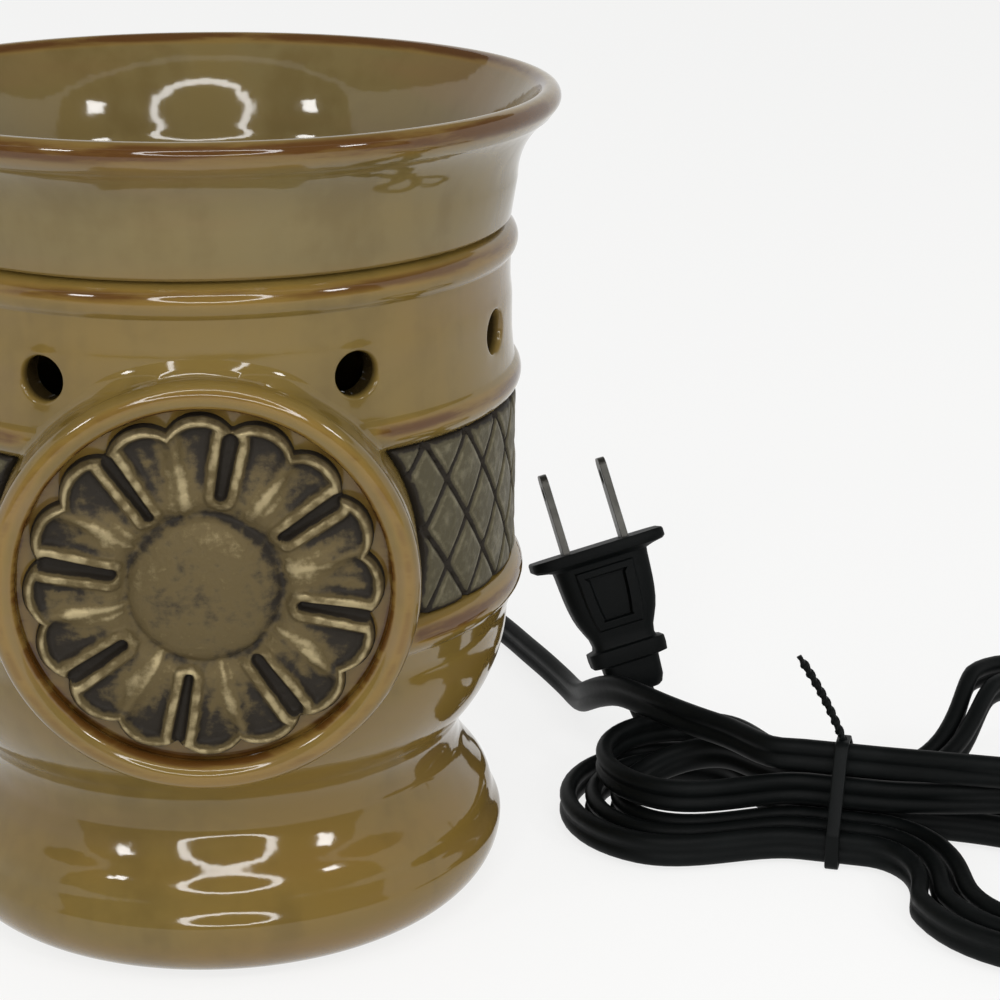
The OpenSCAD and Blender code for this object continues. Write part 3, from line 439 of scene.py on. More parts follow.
def finish(name, recipe, **fixed):
    """A material: fixed values go on the shader's sockets; the recipe links what changes over the surface."""
    made = bpy.data.materials.new(name)
    made.use_nodes = True
    shader = made.node_tree.nodes["Principled BSDF"]
    for key, value in fixed.items():
        shader.inputs[key.replace("_", " ")].default_value = value
    for key, shade in recipe(Shade(made.node_tree)).items():
        made.node_tree.links.new(shade.socket, shader.inputs[key])
    return made


def glaze_finish(name, paint, grey):
    """Glossy glaze that pools olive and ochre and breaks to reddish brown on the edges, with painted shade
    inside the vents.
    """

    def recipe(s):
        clouds = s.cloud(17, 3)
        streaks = s.cloud(1, 4, 0.55, s.place((60, 60, 9)))
        specks = s.cloud(260, 2)
        ochre = (clouds * 0.7 + streaks * 0.5).between(0.42, 0.78)
        body = tuple(a + grey * (b - a) for a, b in zip(paint.glaze, paint.stone))
        base = (ochre * (1 - 0.6 * grey)).blend(body, tuple(paint.ochre))
        dark = (streaks - specks * 0.25).between(0.42, 0.2)
        base = (dark * 0.45).blend(base, tuple(c * 0.6 for c in paint.ochre))
        bands = s.cloud(1, 3, 0.55, s.place((13, 13, 75)))
        base = (bands.between(0.45, 0.7) * 0.7).blend(base, tuple(paint.blush))
        broken = s.cloud(1, 4, 0.6, s.place((42, 42, 330))).between(0.36, 0.62)
        halo = (s.painted("edge") * (streaks + 0.5)).between(0.02, 0.35)
        base = (halo * 0.5).blend(base, tuple(paint.halo))
        edge = (s.painted("edge") * (broken * 0.6 + 0.62)).between(0.22, 0.85)
        base = (edge * 0.9).blend(base, tuple(paint.break_tint))
        # painted shade: the walls inside the vents are darkened to near black
        base = (s.painted("bare") * 0.9).blend(base, (0.012, 0.008, 0.004))
        wobble = s.cloud(48, 2) * 0.7 + s.cloud(150, 2) * 0.25 + s.cloud(420, 1) * 0.05
        return {
            "Base Color": base,
            "Roughness": 0.035 + specks * 0.045 + clouds * 0.03,
            "Normal": s.relief(wobble, 1.0, 0.28),
        }

    return finish(name, recipe, IOR=1.48)


def bronze_finish(name, paint, middle, bright):
    """Brushed-on bronze: bright on the high points, dark patina in the hollows, and painted shade where the
    pieces carry it.
    """

    def recipe(s):
        grain = s.cloud(900, 4, 0.6)
        blotch = s.cloud(210, 3)
        brushed = s.cloud(1, 3, 0.6, s.place((420, 420, 1500)))
        # the points' value holds both the wear of the bronze and painted shade
        wear = s.painted("wear") + (blotch - 0.5) * 0.6 + (grain - 0.5) * 0.5 + (brushed - 0.5) * 0.2
        mid = wear.between(0.1, 0.5).blend(tuple(paint.patina), tuple(middle))
        base = wear.between(0.55, 1.02).blend(mid, tuple(bright))
        return {
            "Base Color": base,
            "Metallic": wear.between(0.2, 0.8) * 0.75,
            "Roughness": 0.55 - wear.between(0.3, 1.0) * 0.17 + grain * 0.1,
            "Normal": s.relief(grain + blotch * 0.8, 0.35, 0.55),
        }

    return finish(name, recipe, Specular_IOR_Level=0.18)


def moulded_finish(name, rgb, rough, grain=900):
    """Moulded vinyl or plastic with a fine grain and faint scuffs."""

    def recipe(s):
        fine, scuffs = s.cloud(grain, 2), s.cloud(70, 4, 0.6)
        dusty = tuple(min(1, c * 1.5 + 0.001) for c in rgb)
        return {
            "Base Color": scuffs.between(0.45, 0.75).blend(tuple(rgb), dusty),
            "Roughness": rough + scuffs * 0.16 + fine * 0.06,
            "Normal": s.relief(fine, 0.12, 0.25),
        }

    return finish(name, recipe, Specular_IOR_Level=0.11)


def metal_finish(name, rgb, rough, dull=0.6):
    """Plated metal with drawn lines and a little tarnish."""

    def recipe(s):
        lines = s.cloud(1, 2, 0.5, s.place((240, 240, 2600)))
        tarnish = s.cloud(130, 4, 0.6)
        return {
            "Base Color": tarnish.between(0.4, 0.75).blend(tuple(rgb), tuple(c * dull for c in rgb)),
            "Roughness": rough + lines * 0.12 + tarnish * 0.12,
            "Normal": s.relief(lines, 0.05, 0.3),
        }

    return finish(name, recipe, Metallic=1.0)


def porcelain_finish(name):
    def recipe(s):
        fine, stain = s.cloud(700, 3), s.cloud(60, 3)
        base = stain.between(0.45, 0.8).blend((0.74, 0.71, 0.65), (0.6, 0.55, 0.47))
        return {"Base Color": base, "Roughness": 0.42 + fine * 0.2, "Normal": s.relief(fine, 0.08, 0.4)}

    return finish(name, recipe)


def lamp_glass_finish(name):
    def recipe(s):
        smear = s.cloud(55, 3)
        return {"Roughness": smear.between(0.5, 0.9) * 0.06, "Normal": s.relief(s.cloud(35, 1), 0.3, 0.1)}

    return finish(name, recipe, Base_Color=(0.97, 0.98, 0.98, 1), Transmission_Weight=1.0, IOR=1.45)


def stage_finish(name, rgb):
    """Pale floor that keeps a soft shadow and looks evenly lit to the camera, metal and glass."""
    made = bpy.data.materials.new(name)
    made.use_nodes = True
    tree = made.node_tree
    tree.nodes.clear()
    s = Shade(tree)
    seen = s.shown() * 0.8
    plain = s.node("ShaderNodeBsdfDiffuse", sockets={"Color": (*rgb, 1)})
    lit = s.node("ShaderNodeEmission", sockets={"Color": (0.995, 0.995, 0.99, 1), "Strength": 1.0})
    mixed = s.node("ShaderNodeMixShader", sockets={0: seen, 1: plain, 2: lit})
    tree.links.new(mixed.socket, tree.nodes.new("ShaderNodeOutputMaterial").inputs["Surface"])
    return made


# ceramic


def flank(b, n=56):
    """Outline from the foot's widest point to the waist, whose swinging slope makes two soft rolls."""
    swings = [(0, 0), (0.13, 26), (0.29, 13), (0.56, 38), (0.75, 30), (1, 0)]
    made, fall = [], 0.0
    for i in range(n + 1):
        t = i / n
        (t0, s0), (t1, s1) = next(pair for pair in zip(swings, swings[1:]) if t <= pair[1][0])
        fall += tan(radians(s0 + (s1 - s0) * step(t, t0, t1)))
        made.append((t, fall))
    inward, up = b.foot_r - b.waist_r, b.waist_z - b.foot_z
    return [(b.foot_r - inward * f / fall, b.foot_z + up * t) for t, f in made]


def body_outline(b):
    """Closed outline of the ceramic body: outside from the foot to the seat, then down the chamber."""
    foot, waist = (b.foot_r - b.foot_round, b.foot_z), (b.waist_r + b.waist_round, b.waist_z)
    low = degrees(asin((b.foot_z - b.foot_lift) / b.foot_round))
    inward, up = waist[0] - b.drum_r, b.drum_z - b.waist_z
    drum = (inward**2 + up**2 - b.waist_round**2) / 2 / (b.waist_round - inward)
    lift = degrees(atan2(up, inward + drum))
    edge = b.ridge_round * sin(radians(50)) + 0.5
    outer = [
        *arc(foot, b.foot_round, -low, -4, 24),
        *flank(b),
        *arc(waist, b.waist_round, 178, 180 - lift, 22),
        *arc((b.drum_r - drum, b.drum_z), drum, -0.95 * lift, 0, 22),
        *arc((b.low_ridge_r - b.ridge_round, b.low_ridge_z), b.ridge_round, -50, 62, 14),
        (b.groove_r, b.low_ridge_z + edge),
        (b.groove_r, b.top_ridge_z - edge),
        *arc((b.top_ridge_r - b.ridge_round, b.top_ridge_z), b.ridge_round, -62, 50, 14),
        *[(b.neck_r + 0.2, b.top_ridge_z + 5), (b.neck_r, b.top_ridge_z + 8), (b.neck_r, b.shoulder_z - 10)],
        *[(b.neck_r - 0.3, b.shoulder_z - 7), (b.neck_r - 0.3, b.shoulder_z - 4.5)],
        *arc((b.shoulder_r - b.shoulder_round, b.shoulder_z), b.shoulder_round, -50, 74, 14),
    ]
    inner = [
        *[(b.shoulder_r - b.shoulder_round, b.seat_z), (b.mouth_r, b.seat_z), (b.mouth_r, b.seat_z - 7.5)],
        *[(b.chamber_r, b.seat_z - 12.5), (b.chamber_r, b.drum_z + 2), (b.chamber_r - 2.5, b.drum_z - 8)],
        *[(b.waist_r - 4.4, b.waist_z + 3.7), (b.waist_r - 4.4, 19.7), (3.2, 19.7), (3.2, 15.2)],
        *[(38, 15.2), (38, 6.2), (41.4, 6.2), (41.4, b.foot_lift)],
    ]
    return divided(softened(outer + inner, 1.0), 2.0)


VENT_TURNS = [radians(s * a) for s in (-1, 1) for a in (28, 67, 113, 152)]
# half of the square patch opened for a vent, its eased edge's radius, and a reach that only its own side has
VENT_PATCH, VENT_EDGE, VENT_SIDE = 5.2, 4.5, 30
# radius and depth of the eased edge's steps, drawn for a vent of this radius
VENT_DRAWN = 3.7
VENT_STEPS = [(4.2, 0.05), (4.0, 0.2), (3.84, 0.5), (3.75, 1.0), (3.7, 1.8), (3.7, 2.6)]


def vent_wall(b, p):
    """1 on the walls inside the vents, which get painted shade."""
    if abs(p.z - b.vent_z) > b.vent_r + 0.4:
        return 0
    for turn in VENT_TURNS:
        side, out = p.x * cos(turn) + p.y * sin(turn), p.x * sin(turn) - p.y * cos(turn)
        if out > VENT_SIDE and hypot(side, p.z - b.vent_z) < b.vent_r + 0.4:
            return step(sqrt(b.neck_r**2 - side**2) - out, 0.6, 1.6)
    return 0


def cut_vent(bm, b, turn):
    """A round vent with an eased edge: a patch of both walls is opened and bridged by a short tube."""
    across, out = Vector((cos(turn), sin(turn), 0)), Vector((sin(turn), -cos(turn), 0))

    def beside(p):
        near = max(abs(p.dot(across)), abs(p.z - b.vent_z)) < VENT_PATCH
        return p.dot(out) > VENT_SIDE and near

    wall = [f for f in bm.faces if beside(f.calc_center_median())]
    bmesh.ops.delete(bm, geom=wall, context="FACES")
    open_edges = [e for e in bm.edges if e.is_boundary]
    outer = [e for e in open_edges if hypot(*e.verts[0].co.xy) > b.groove_r]
    inner = [e for e in open_edges if e not in set(outer)]

    def at(v, rho, r, deep):
        a = atan2(v.co.z - b.vent_z, v.co.dot(across))
        side = rho * cos(a)
        up = Vector((0, 0, b.vent_z + rho * sin(a)))
        v.co = out * (sqrt(r * r - side * side) - deep) + across * side + up

    upright = Matrix.Rotation(turn, 4, "Z") @ Matrix.Rotation(pi / 2, 4, "X")
    place = Matrix.Translation(out * b.neck_r + Vector((0, 0, b.vent_z))) @ upright
    ring = bmesh.ops.create_circle(bm, segments=40, radius=VENT_EDGE, matrix=place)["verts"]
    edges = list({e for v in ring for e in v.link_edges})
    for v in ring:
        at(v, VENT_EDGE, b.neck_r, 0)
    bmesh.ops.bridge_loops(bm, edges=outer + edges)
    for rho, deep in VENT_STEPS + [(3.9, None)]:
        verts, edges = extruded(bm, edges)
        for v in verts:
            at(v, rho * b.vent_r / VENT_DRAWN, b.chamber_r if deep is None else b.neck_r, deep or 0)
    bmesh.ops.bridge_loops(bm, edges=inner + edges)


def boss(b, wall):
    """A round boss: recess floor, fillet and ring, its foot laid on the drum's wall with a soft fillet."""
    inside = b.ring_r - 0.9 * b.ring_round
    crest = (b.ring_r, b.boss_front - b.ring_round)
    outline = [(inside * i / 9, b.recess_at) for i in range(9)] + [(inside - 0.7, b.recess_at)]
    outline += [(inside - 0.25, b.recess_at + 0.15), (inside + 0.05, b.recess_at + 0.7)]
    outline += arc(crest, b.ring_round, 195, -8, 26) + [(b.boss_r - 0.02, crest[1] - 0.9)]
    bm = spun(outline, closed=False, steps=GLAZED)
    edges = [e for e in bm.edges if e.is_boundary]
    for out, up in [(0.0, 1.5), (0.12, 0.8), (0.45, 0.22), (1.0, -0.02), (1.3, -0.3)]:
        verts, edges = extruded(bm, edges)
        for v in verts:
            a = atan2(v.co.y, v.co.x)
            wide = 1 + 1.6 * step(abs(sin(a)), 0.8, 0.95)
            rho = b.boss_r + out * wide
            hit = wall.ray_cast(Vector((rho * cos(a), -90, b.boss_z + rho * sin(a))), Vector((0, 1, 0)))[0]
            v.co = (rho * cos(a), rho * sin(a), min(-hit.y + up * (wide if up > 0 else 1), crest[1] - 1.0))
    bmesh.ops.recalc_face_normals(bm, faces=bm.faces[:])
    return bm


def body_edge(b, p):
    """How far the glaze thins at a point: ridges, beads, the foot's shoulder and the boss rings."""
    r, z = hypot(p.x, p.y), p.z
    thin = max(
        0.8 * bump(hypot(r - b.low_ridge_r, z - b.low_ridge_z - 0.8), 0, 2.6),
        0.7 * bump(hypot(r - b.top_ridge_r, z - b.top_ridge_z - 0.6), 0, 2.2),
        0.62 * bump(hypot(r - b.shoulder_r + 0.3, z - b.shoulder_z - 1.4), 0, 2.2),
        0.16 * bump(z, 21, 6) * step(r, 44, 47),
        0.3 * bump(hypot(r - b.foot_r, z - b.foot_z + 6), 0, 6),
    )
    rho, out = hypot(p.x, z - b.boss_z), abs(p.y)
    if out > 38 and rho < b.boss_r + 3:
        ring = bump(rho, b.ring_r + 0.5, 1.7) * step(out, b.boss_front - 5, b.boss_front - 2)
        line = 0.75 * bump(rho, b.ring_r - 2.3, 1.2)
        thin = max(0.38 * ring, line, thin * step(rho, b.boss_r, b.boss_r + 3))
    return thin


def painted_points(bm, name, value):
    """A value on each point of the piece, worked out from its place."""
    layer = bm.verts.layers.float.new(name)
    for v in bm.verts:
        v[layer] = value(v.co)


class WAXWARMER_OT_body(bpy.types.Operator):
    """Glazed ceramic body with its vents and the two round bosses"""

    bl_idname = "wax_warmer.body"
    bl_label = "Ceramic Body"

    def execute(self, context):
        b, paint = settings(context, "body")
        bm = spun(body_outline(b))
        wall = BVHTree.FromBMesh(bm)
        for turn in VENT_TURNS:
            cut_vent(bm, b, turn)
        for v in bm.verts:
            if abs(v.co.y) > 50 and hypot(v.co.x, v.co.z - b.boss_z) < b.ring_r + 0.8:
                v.co.y = max(min(v.co.y, b.recess_at - 0.8), 0.8 - b.recess_at)
        front = Matrix.Translation((0, 0, b.boss_z)) @ Matrix.Rotation(pi / 2, 4, "X")
        joined(bm, boss(b, wall), front)
        joined(bm, boss(b, wall), Matrix.Rotation(pi, 4, "Z") @ front)
        painted_points(bm, "edge", lambda p: body_edge(b, p))
        # painted shade on the walls inside the vents
        painted_points(bm, "bare", lambda p: vent_wall(b, p))
        glaze = glaze_finish("Body glaze", paint, 0.0)
        piece("ceramic_body", bm, glaze, "warmer", "warmer_body", slot="glaze")
        return {"FINISHED"}


class WAXWARMER_OT_dish(bpy.types.Operator):
    """Loose glazed dish with its flared rim"""

    bl_idname = "wax_warmer.dish"
    bl_label = "Warming Dish"

    def execute(self, context):
        d, paint = settings(context, "dish")
        low = d.seat - d.step
        flare = (d.wall_r + 1.1 + d.flare, d.seat + 7.3)
        base = low + d.floor
        wide = (d.rim_r + 27, d.top - 26.4)
        meet = asin((base + d.corner - wide[1]) / (d.inside + d.corner))
        corner = (wide[0] - (d.inside + d.corner) * cos(meet), base + d.corner)
        rim = (d.rim_r - d.rim_round, d.top - d.rim_round)
        outline = [(0, low), (d.step_r - 1, low), (d.step_r, low + 1), (d.step_r, d.seat)]
        outline += [(d.wall_r - 0.6, d.seat), (d.wall_r, d.seat + 0.6)]
        outline += arc(flare, d.flare, 180, 125, 26) + arc(rim, d.rim_round, -40, 140, 26)
        outline += arc(wide, d.inside, 142, 180 - degrees(meet), 26)
        outline += arc(corner, d.corner, -degrees(meet), -90, 20) + [(0, base)]
        bm = spun(divided(softened(outline, 0.6, closed=False), 4.0, closed=False), closed=False)

        def thin(p):
            r = hypot(p.x, p.y)
            lip = bump(hypot(r - d.rim_r + 0.5, p.z - d.top + 1.7), 0, 2.9)
            inner = 0.9 * bump(hypot(r - rim[0] + 1.6, p.z - d.top + 0.4), 0, 2.3)
            foot = 0.3 * bump(hypot(r - d.wall_r, p.z - d.seat), 0, 1.6)
            return max(lip, inner, foot)

        painted_points(bm, "edge", thin)
        glaze = glaze_finish("Dish glaze", paint, 1.0)
        piece("glazed_dish", bm, glaze, "dish", "warming_dish", slot="glaze")
        return {"FINISHED"}


# cast bronze


def petal_reach(m, a):
    """Reach of a rosette's scalloped edge at an angle, as a share of its radius."""
    share = TURN / m.petals
    across = abs(2 * ((a - m.turn) % share) / share - 1)
    return 1 - 0.075 * abs(2 * across - 1) ** 2.2


def petal_relief(m, rho, a):
    """Height above a rosette's plate and how bright the bronze is there, painted shade in the creases, slots
    and outer edge included.
    """
    share = TURN / m.petals
    off = (a - m.turn) % share - share / 2
    which = floor((a - m.turn) % TURN / share)
    spot = Vector((rho * cos(a), rho * sin(a), 0))
    wave, fine = noise.noise(spot / 7), noise.noise(spot / 1.6)
    stroke = noise.noise(Vector((rho / 7, a * 15, which * 3.1)))
    big = m.rosette_r
    f = rho / (big * petal_reach(m, a))
    dome = m.dome_h * sqrt(max(0.0, 1 - (rho / (m.dome_r + 1.2)) ** 2))
    patchy = 0.45 + 0.55 * step(wave + 0.5 * sin(a + 0.6), -0.3, 0.5)
    ring = bump(rho, m.dome_r + 0.9 + 0.7 * wave, 1.7) * patchy

    slot_n = which if off < 0 else which + 1
    side = share / 2 - abs(off)
    along, beside = rho * cos(side), rho * sin(side)
    start = (0.535 + 0.025 * sin(slot_n * 1.9)) * big
    end = (0.885 + 0.02 * cos(slot_n * 2.7)) * big
    near = hypot(along - min(max(along, start), end), beside)
    slot_w = 0.85 + 0.3 * step(along, start, end) + 0.15 * sin(slot_n * 2.3)
    slot = 1 - step(near, slot_w - 0.45, slot_w + 0.3)
    brink = min(near - slot_w, (1 - f) * big)
    outline = (1 - step(abs(brink - 0.9), 0.4, 1.2)) * step(f, 0.4, 0.5)

    bend = off + 0.05 * sin(which * 2.4) * step(f, 0.6, 1.0)
    ridge = exp(-((rho * bend / (2.2 - 0.9 * step(f, 0.5, 0.9))) ** 2)) * step(f, 0.4, 0.52)
    rib = ridge * (1 - step(f, 0.72, 0.93))
    hollow = step(brink, 1.6, 2.6) * (1 - ridge) * step(f, 0.52 + 0.06 * wave, 0.84)
    # painted shade: a dark crease just inside each petal's raised outline
    crease_shade = bump(brink, 2.5, 1.3) * (1 - 0.7 * ridge) * step(f, 0.5, 0.68)

    rise = step(rho, m.dome_r - 0.4, m.dome_r + 4.2)
    petal = rise * (0.64 + 0.3 * outline + 0.13 * ridge - 0.38 * hollow - 0.06 * step(f, 0.55, 0.9))
    high = m.petal_h * petal * (1 - 0.88 * slot) * (0.3 + 0.7 * (1 - step(f, 0.968, 1.0)))
    high = max(high, dome - 0.35 * ring) + 0.07 * fine + 0.12 * wave
    bright = 0.45 + 0.2 * wave + 0.12 * fine + 0.03 * (1 - rise) - 0.42 * ring
    bright += 0.36 * outline * (0.55 + 0.5 * step(f, 0.55, 0.85) + 0.5 * fine)
    bright += 0.48 * rib * (0.7 + 1.1 * stroke)
    bright -= 0.24 * hollow * (0.4 + 0.6 * step(f, 0.6, 0.88) - 0.9 * stroke)
    # painted shade: darker in the creases, the slots painted near black, and a thin dark band at the outer
    # edge where the rosette meets its recess
    bright -= 0.3 * crease_shade * (0.8 + 0.6 * wave)
    bright -= 1.2 * slot + 0.8 * step(f, 0.988, 1.0)
    return max(high, 0.05), bright


class WAXWARMER_OT_rosettes(bpy.types.Operator):
    """Cast bronze rosettes in the front and rear bosses"""

    bl_idname = "wax_warmer.rosettes"
    bl_label = "Rosettes"

    def execute(self, context):
        m, b, paint = settings(context, "medallion", "body")
        cast = bronze_finish("Rosette bronze", paint, paint.bronze, paint.gold)
        rings, rays, back = 84, 440, 0.02
        outline = [(m.rosette_r * i / rings, m.plate) for i in range(rings + 1)]
        outline += [(m.rosette_r, back), (0, back)]
        front = Matrix.Translation((0, -b.recess_at, b.boss_z)) @ Matrix.Rotation(pi / 2, 4, "X")
        for node, place in (("front_rosette", front), ("rear_rosette", Matrix.Rotation(pi, 4, "Z") @ front)):
            bm = spun(outline, closed=False, steps=rays)
            wear = bm.verts.layers.float.new("wear")
            for v in bm.verts:
                rho, a = hypot(v.co.x, v.co.y), atan2(v.co.y, v.co.x)
                squeeze = 1 + (petal_reach(m, a) - 1) * step(rho, m.rosette_r * 0.6, m.rosette_r)
                v.co.xy *= squeeze
                if v.co.z > m.plate / 2:
                    high, v[wear] = petal_relief(m, rho * squeeze, a)
                    v.co.z += high
            bmesh.ops.recalc_face_normals(bm, faces=bm.faces[:])
            piece(f"{node}_cast", moved(bm, place), cast, "warmer", node, slot="bronze", sharp=75)
        return {"FINISHED"}


def quilt_relief(m, b, a, z):
    """Radius of a quilted panel and how bright the bronze is there."""
    mid = (b.low_ridge_z + b.top_ridge_z) / 2
    s, t = a * m.panel_r / m.diamond_w, (z - mid) / m.diamond_h
    unit = 1 / hypot(1 / m.diamond_w, 1 / m.diamond_h)
    lines = [abs((x + 0.5) % 1 - 0.5) * unit for x in (s + t, s - t)]
    near = min(lines)
    wave = noise.noise(Vector((a * 40, z / 2.2, 0)))
    cut = exp(-((near / (0.44 + 0.1 * wave)) ** 2))
    pillow = sqrt(min(lines[0] * lines[1] / 9.5, 1.0))
    r = m.panel_r - 0.06 - 0.95 * cut - 0.34 * (1 - pillow) + 0.05 * wave
    return r, 0.32 + 0.34 * pillow - 1.0 * cut + 0.34 * exp(-(((near - 1.0) / 0.4) ** 2)) + 0.16 * wave


class WAXWARMER_OT_panels(bpy.types.Operator):
    """Quilted bronze panels on the left and right of the drum"""

    bl_idname = "wax_warmer.panels"
    bl_label = "Quilted Panels"

    def execute(self, context):
        m, b, paint = settings(context, "medallion", "body")
        cast = bronze_finish("Panel bronze", paint, paint.pewter, paint.pale)
        edge = b.ridge_round * sin(radians(50)) + 0.7
        low, high = b.low_ridge_z + edge, b.top_ridge_z - edge
        for node, turn in (("right_panel", 0), ("left_panel", pi)):
            bm = bmesh.new()
            bmesh.ops.create_grid(bm, x_segments=260, y_segments=70, size=1)
            wear = bm.verts.layers.float.new("wear")
            for v in bm.verts:
                u, z = (v.co.x + 1) / 2, low + (high - low) * (v.co.y + 1) / 2
                end = asin(sqrt((b.boss_r + 0.75) ** 2 - (z - b.boss_z) ** 2) / (m.panel_r - 1))
                a = end + (pi - 2 * end) * u
                r, v[wear] = quilt_relief(m, b, a - pi / 2, z)
                side = min(abs(a - end), abs(pi - end - a)) * m.panel_r
                brim = min(side, z - low, high - z)
                r -= 0.5 * (1 - step(brim, 0, 1.1))
                # painted shade: darker along the panel's edges where they meet the band
                v[wear] -= 0.75 * (1 - step(brim, 0, 1.3))
                v.co = (r * sin(a), -r * cos(a), z)
            brims = [e for e in bm.edges if e.is_boundary]
            for v in extruded(bm, brims)[0]:
                v.co.xy = v.co.xy.normalized() * (b.groove_r + 0.1)
            bmesh.ops.rotate(bm, matrix=Matrix.Rotation(turn, 3, "Z"), verts=bm.verts[:])
            bmesh.ops.recalc_face_normals(bm, faces=bm.faces[:])
            piece(f"{node}_cast", bm, cast, "warmer", node, slot="bronze", sharp=75)
        return {"FINISHED"}


# cord


# the hank's middle, the bend of its left lobes, the plug's foot from the hank's end, the tie's slack
HANK_MID, LEFT_BEND, TO_PLUG = Vector((119, 2, 0)), radians(-12), Vector((-12.5, 10.3, 9.5))
TIE_SLACK = 0.3


def hank_lines(c):
    """The hank from the plug to the switch: points of its figure-of-eight loops, each with its edge's way."""
    waist, left = 6.0, 31.0
    runs, turns = 20, 26
    base = c.width / 2 + c.tie_t + TIE_SLACK

    def column(j):
        return (j + 0.5) * c.pitch

    def loop(j):
        return c.loop_r + j * c.pitch

    def level(k):
        return base + (k - 1) * (c.width + c.layer_gap)

    def spine(u, bend, reach):
        u1 = waist + 0.95 * (reach - waist)
        k = bend / (u1 - waist)
        h, rest = k * min(max(u - waist, 0), u1 - waist), max(u - u1, 0)
        return min(u, waist) + sin(h) / k + rest * cos(h), (1 - cos(h)) / k + rest * sin(h), h

    def ease(x):
        return (1 - cos(pi * min(max(x, 0), 1))) / 2

    def beside(p, v, z0, z, f, roll, lift):
        a, h = roll * f, p[2]
        off = Vector((sin(h) * sin(a), -cos(h) * sin(a), cos(a)))
        side = Vector((-sin(h) * cos(a), cos(h) * cos(a), sin(a)))
        return Vector((p[0], p[1], z0 + lift * f)) + v * side + (z - z0) * off, off

    def run(u, bend, reach, v0, v1, z0, z, roll=0, lift=0):
        f = ease((u - waist) / (reach - waist))
        return beside(spine(u, bend, reach), v0 + (v1 - v0) * f, z0, z, f, roll, lift)

    def lobe(bend, reach, v_out, v_back, r_out, r_back, z_out, z_back, roll=0, lift=0):
        r = (r_out + r_back) / 2
        turn = pi * r
        climb, rise = 0.55 * turn + 0.27 * reach, z_back - z_out
        x, y, h = spine(reach, bend, reach)
        there = (bend, reach, v_out, r_out, z_out, z_out, roll, lift)
        made = [run(reach * i / runs, *there) for i in range(1, runs + 1)]
        for i in range(1, turns + 1):
            a, z = pi / 2 - pi * i / turns, z_out + rise * ease((turn * i / turns - 0.45 * turn) / climb)
            end = (x + r * cos(a) * cos(h), y + r * cos(a) * sin(h), h)
            made.append(beside(end, (r_out - r_back) / 2 + r * sin(a), z_out, z, 1, roll, lift))
        for i in range(runs - 1, -1, -1):
            u = reach * i / runs
            z = z_out + rise * ease((0.55 * turn + reach - u) / climb)
            made.append(run(u, bend, reach, v_back, -r_back, z_out, z, roll, lift))
        return made

    def placed(points, a):
        turn = Matrix.Rotation(c.hank_turn + a, 3, "Z")
        return [(HANK_MID + turn @ p, turn @ n) for p, n in points]

    def right_lobe(i):
        upper = i > 2
        j = i - 3 if upper else 2 - i
        low, r = 1 + upper, loop(j) + 1
        ends = (column(j), -column(0 if i == 4 else j), r, r, level(low), level(3 if i == 4 else low))
        shape = lobe(radians(60), 48, *ends, radians(18), 7) if upper else lobe(radians(-60), 50, *ends)
        return placed(shape, 0)

    def left_lobe(i):
        out, back, low, high = ((2, 1, 1, 1), (1, 0, 1, 1), (0, -1, 1, 2), (0, 1, 2, 2))[i]
        ends = (column(out), -column(max(back, 0)), loop(out), loop(back), level(low), level(high))
        return placed(lobe(LEFT_BEND, left, *ends), pi)

    outermost = (LEFT_BEND, left, -column(2), -loop(2), level(1), level(1))
    first = [run(left * i / runs, *outermost) for i in range(runs, -1, -1)]
    ahead = c.width * Vector((cos(LEFT_BEND), sin(LEFT_BEND), 0))
    line = placed([(first[0][0] + ahead, first[0][1]), *first], pi)
    for i in range(4):
        line += right_lobe(i) + left_lobe(i)
    last = Vector((-c.width - 1, -column(0), level(3)))
    return line + right_lobe(4) + placed([(last, Vector((0, 0, 1)))], 0)


def smooth_line(points, longest=3.0):
    """A smooth line through route points, with no stretch longer than given."""
    points = [Vector(p) for p in points]
    made = []
    for i in range(len(points) - 1):
        p0, p1, p2, p3 = (points[min(max(j, 0), len(points) - 1)] for j in range(i - 1, i + 3))
        reach = (p2 - p1).length
        m1 = (p2 - p0) * (reach / max((p1 - p0).length + reach, TINY))
        m2 = (p3 - p1) * (reach / max((p3 - p2).length + reach, TINY))
        n = max(1, ceil(reach / longest))
        for k in range(n):
            t = k / n
            h = (2 * t**3 - 3 * t * t + 1, t**3 - 2 * t * t + t, 3 * t * t - 2 * t**3, t**3 - t * t)
            made.append(h[0] * p1 + h[1] * m1 + h[2] * p2 + h[3] * m2)
    return made + [points[-1]]


def flat_outline(c):
    """Section of the flat cord: two round cores side by side with a groove between them."""
    r = c.thick / 2
    off = c.width / 2 - r
    dip = 0.62 * r
    upper = arc((0, off), r, -38, 218, 14)
    lower = arc((0, -off), r, 142, 398, 14)
    return upper + [(-dip, 0.0)] + lower + [(dip, 0.0)]


def cord_places(line, flats):
    """Placing matrices of a flat cord along a line; flats are the directions that its broad side faces."""
    made = []
    for i, p in enumerate(line):
        t = (line[min(i + 1, len(line) - 1)] - line[max(i - 1, 0)]).normalized()
        n = (flats[i] - t * flats[i].dot(t)).normalized()
        w = t.cross(n)
        made.append(Matrix(((n.x, w.x, t.x, p.x), (n.y, w.y, t.y, p.y), (n.z, w.z, t.z, p.z), (0, 0, 0, 1))))
    return made


def on_edge(line, edges=None):
    """Directions of the broad side of a cord that stands on its edge, or whose edge points as given."""
    ways = [line[min(i + 1, len(line) - 1)] - line[max(i - 1, 0)] for i in range(len(line))]
    return [(e or Vector((0, 0, 1))).cross(w).normalized() for w, e in zip(ways, edges or [None] * len(line))]


def exit_way(c):
    return Vector((cos(c.exit_turn), sin(c.exit_turn), 0))


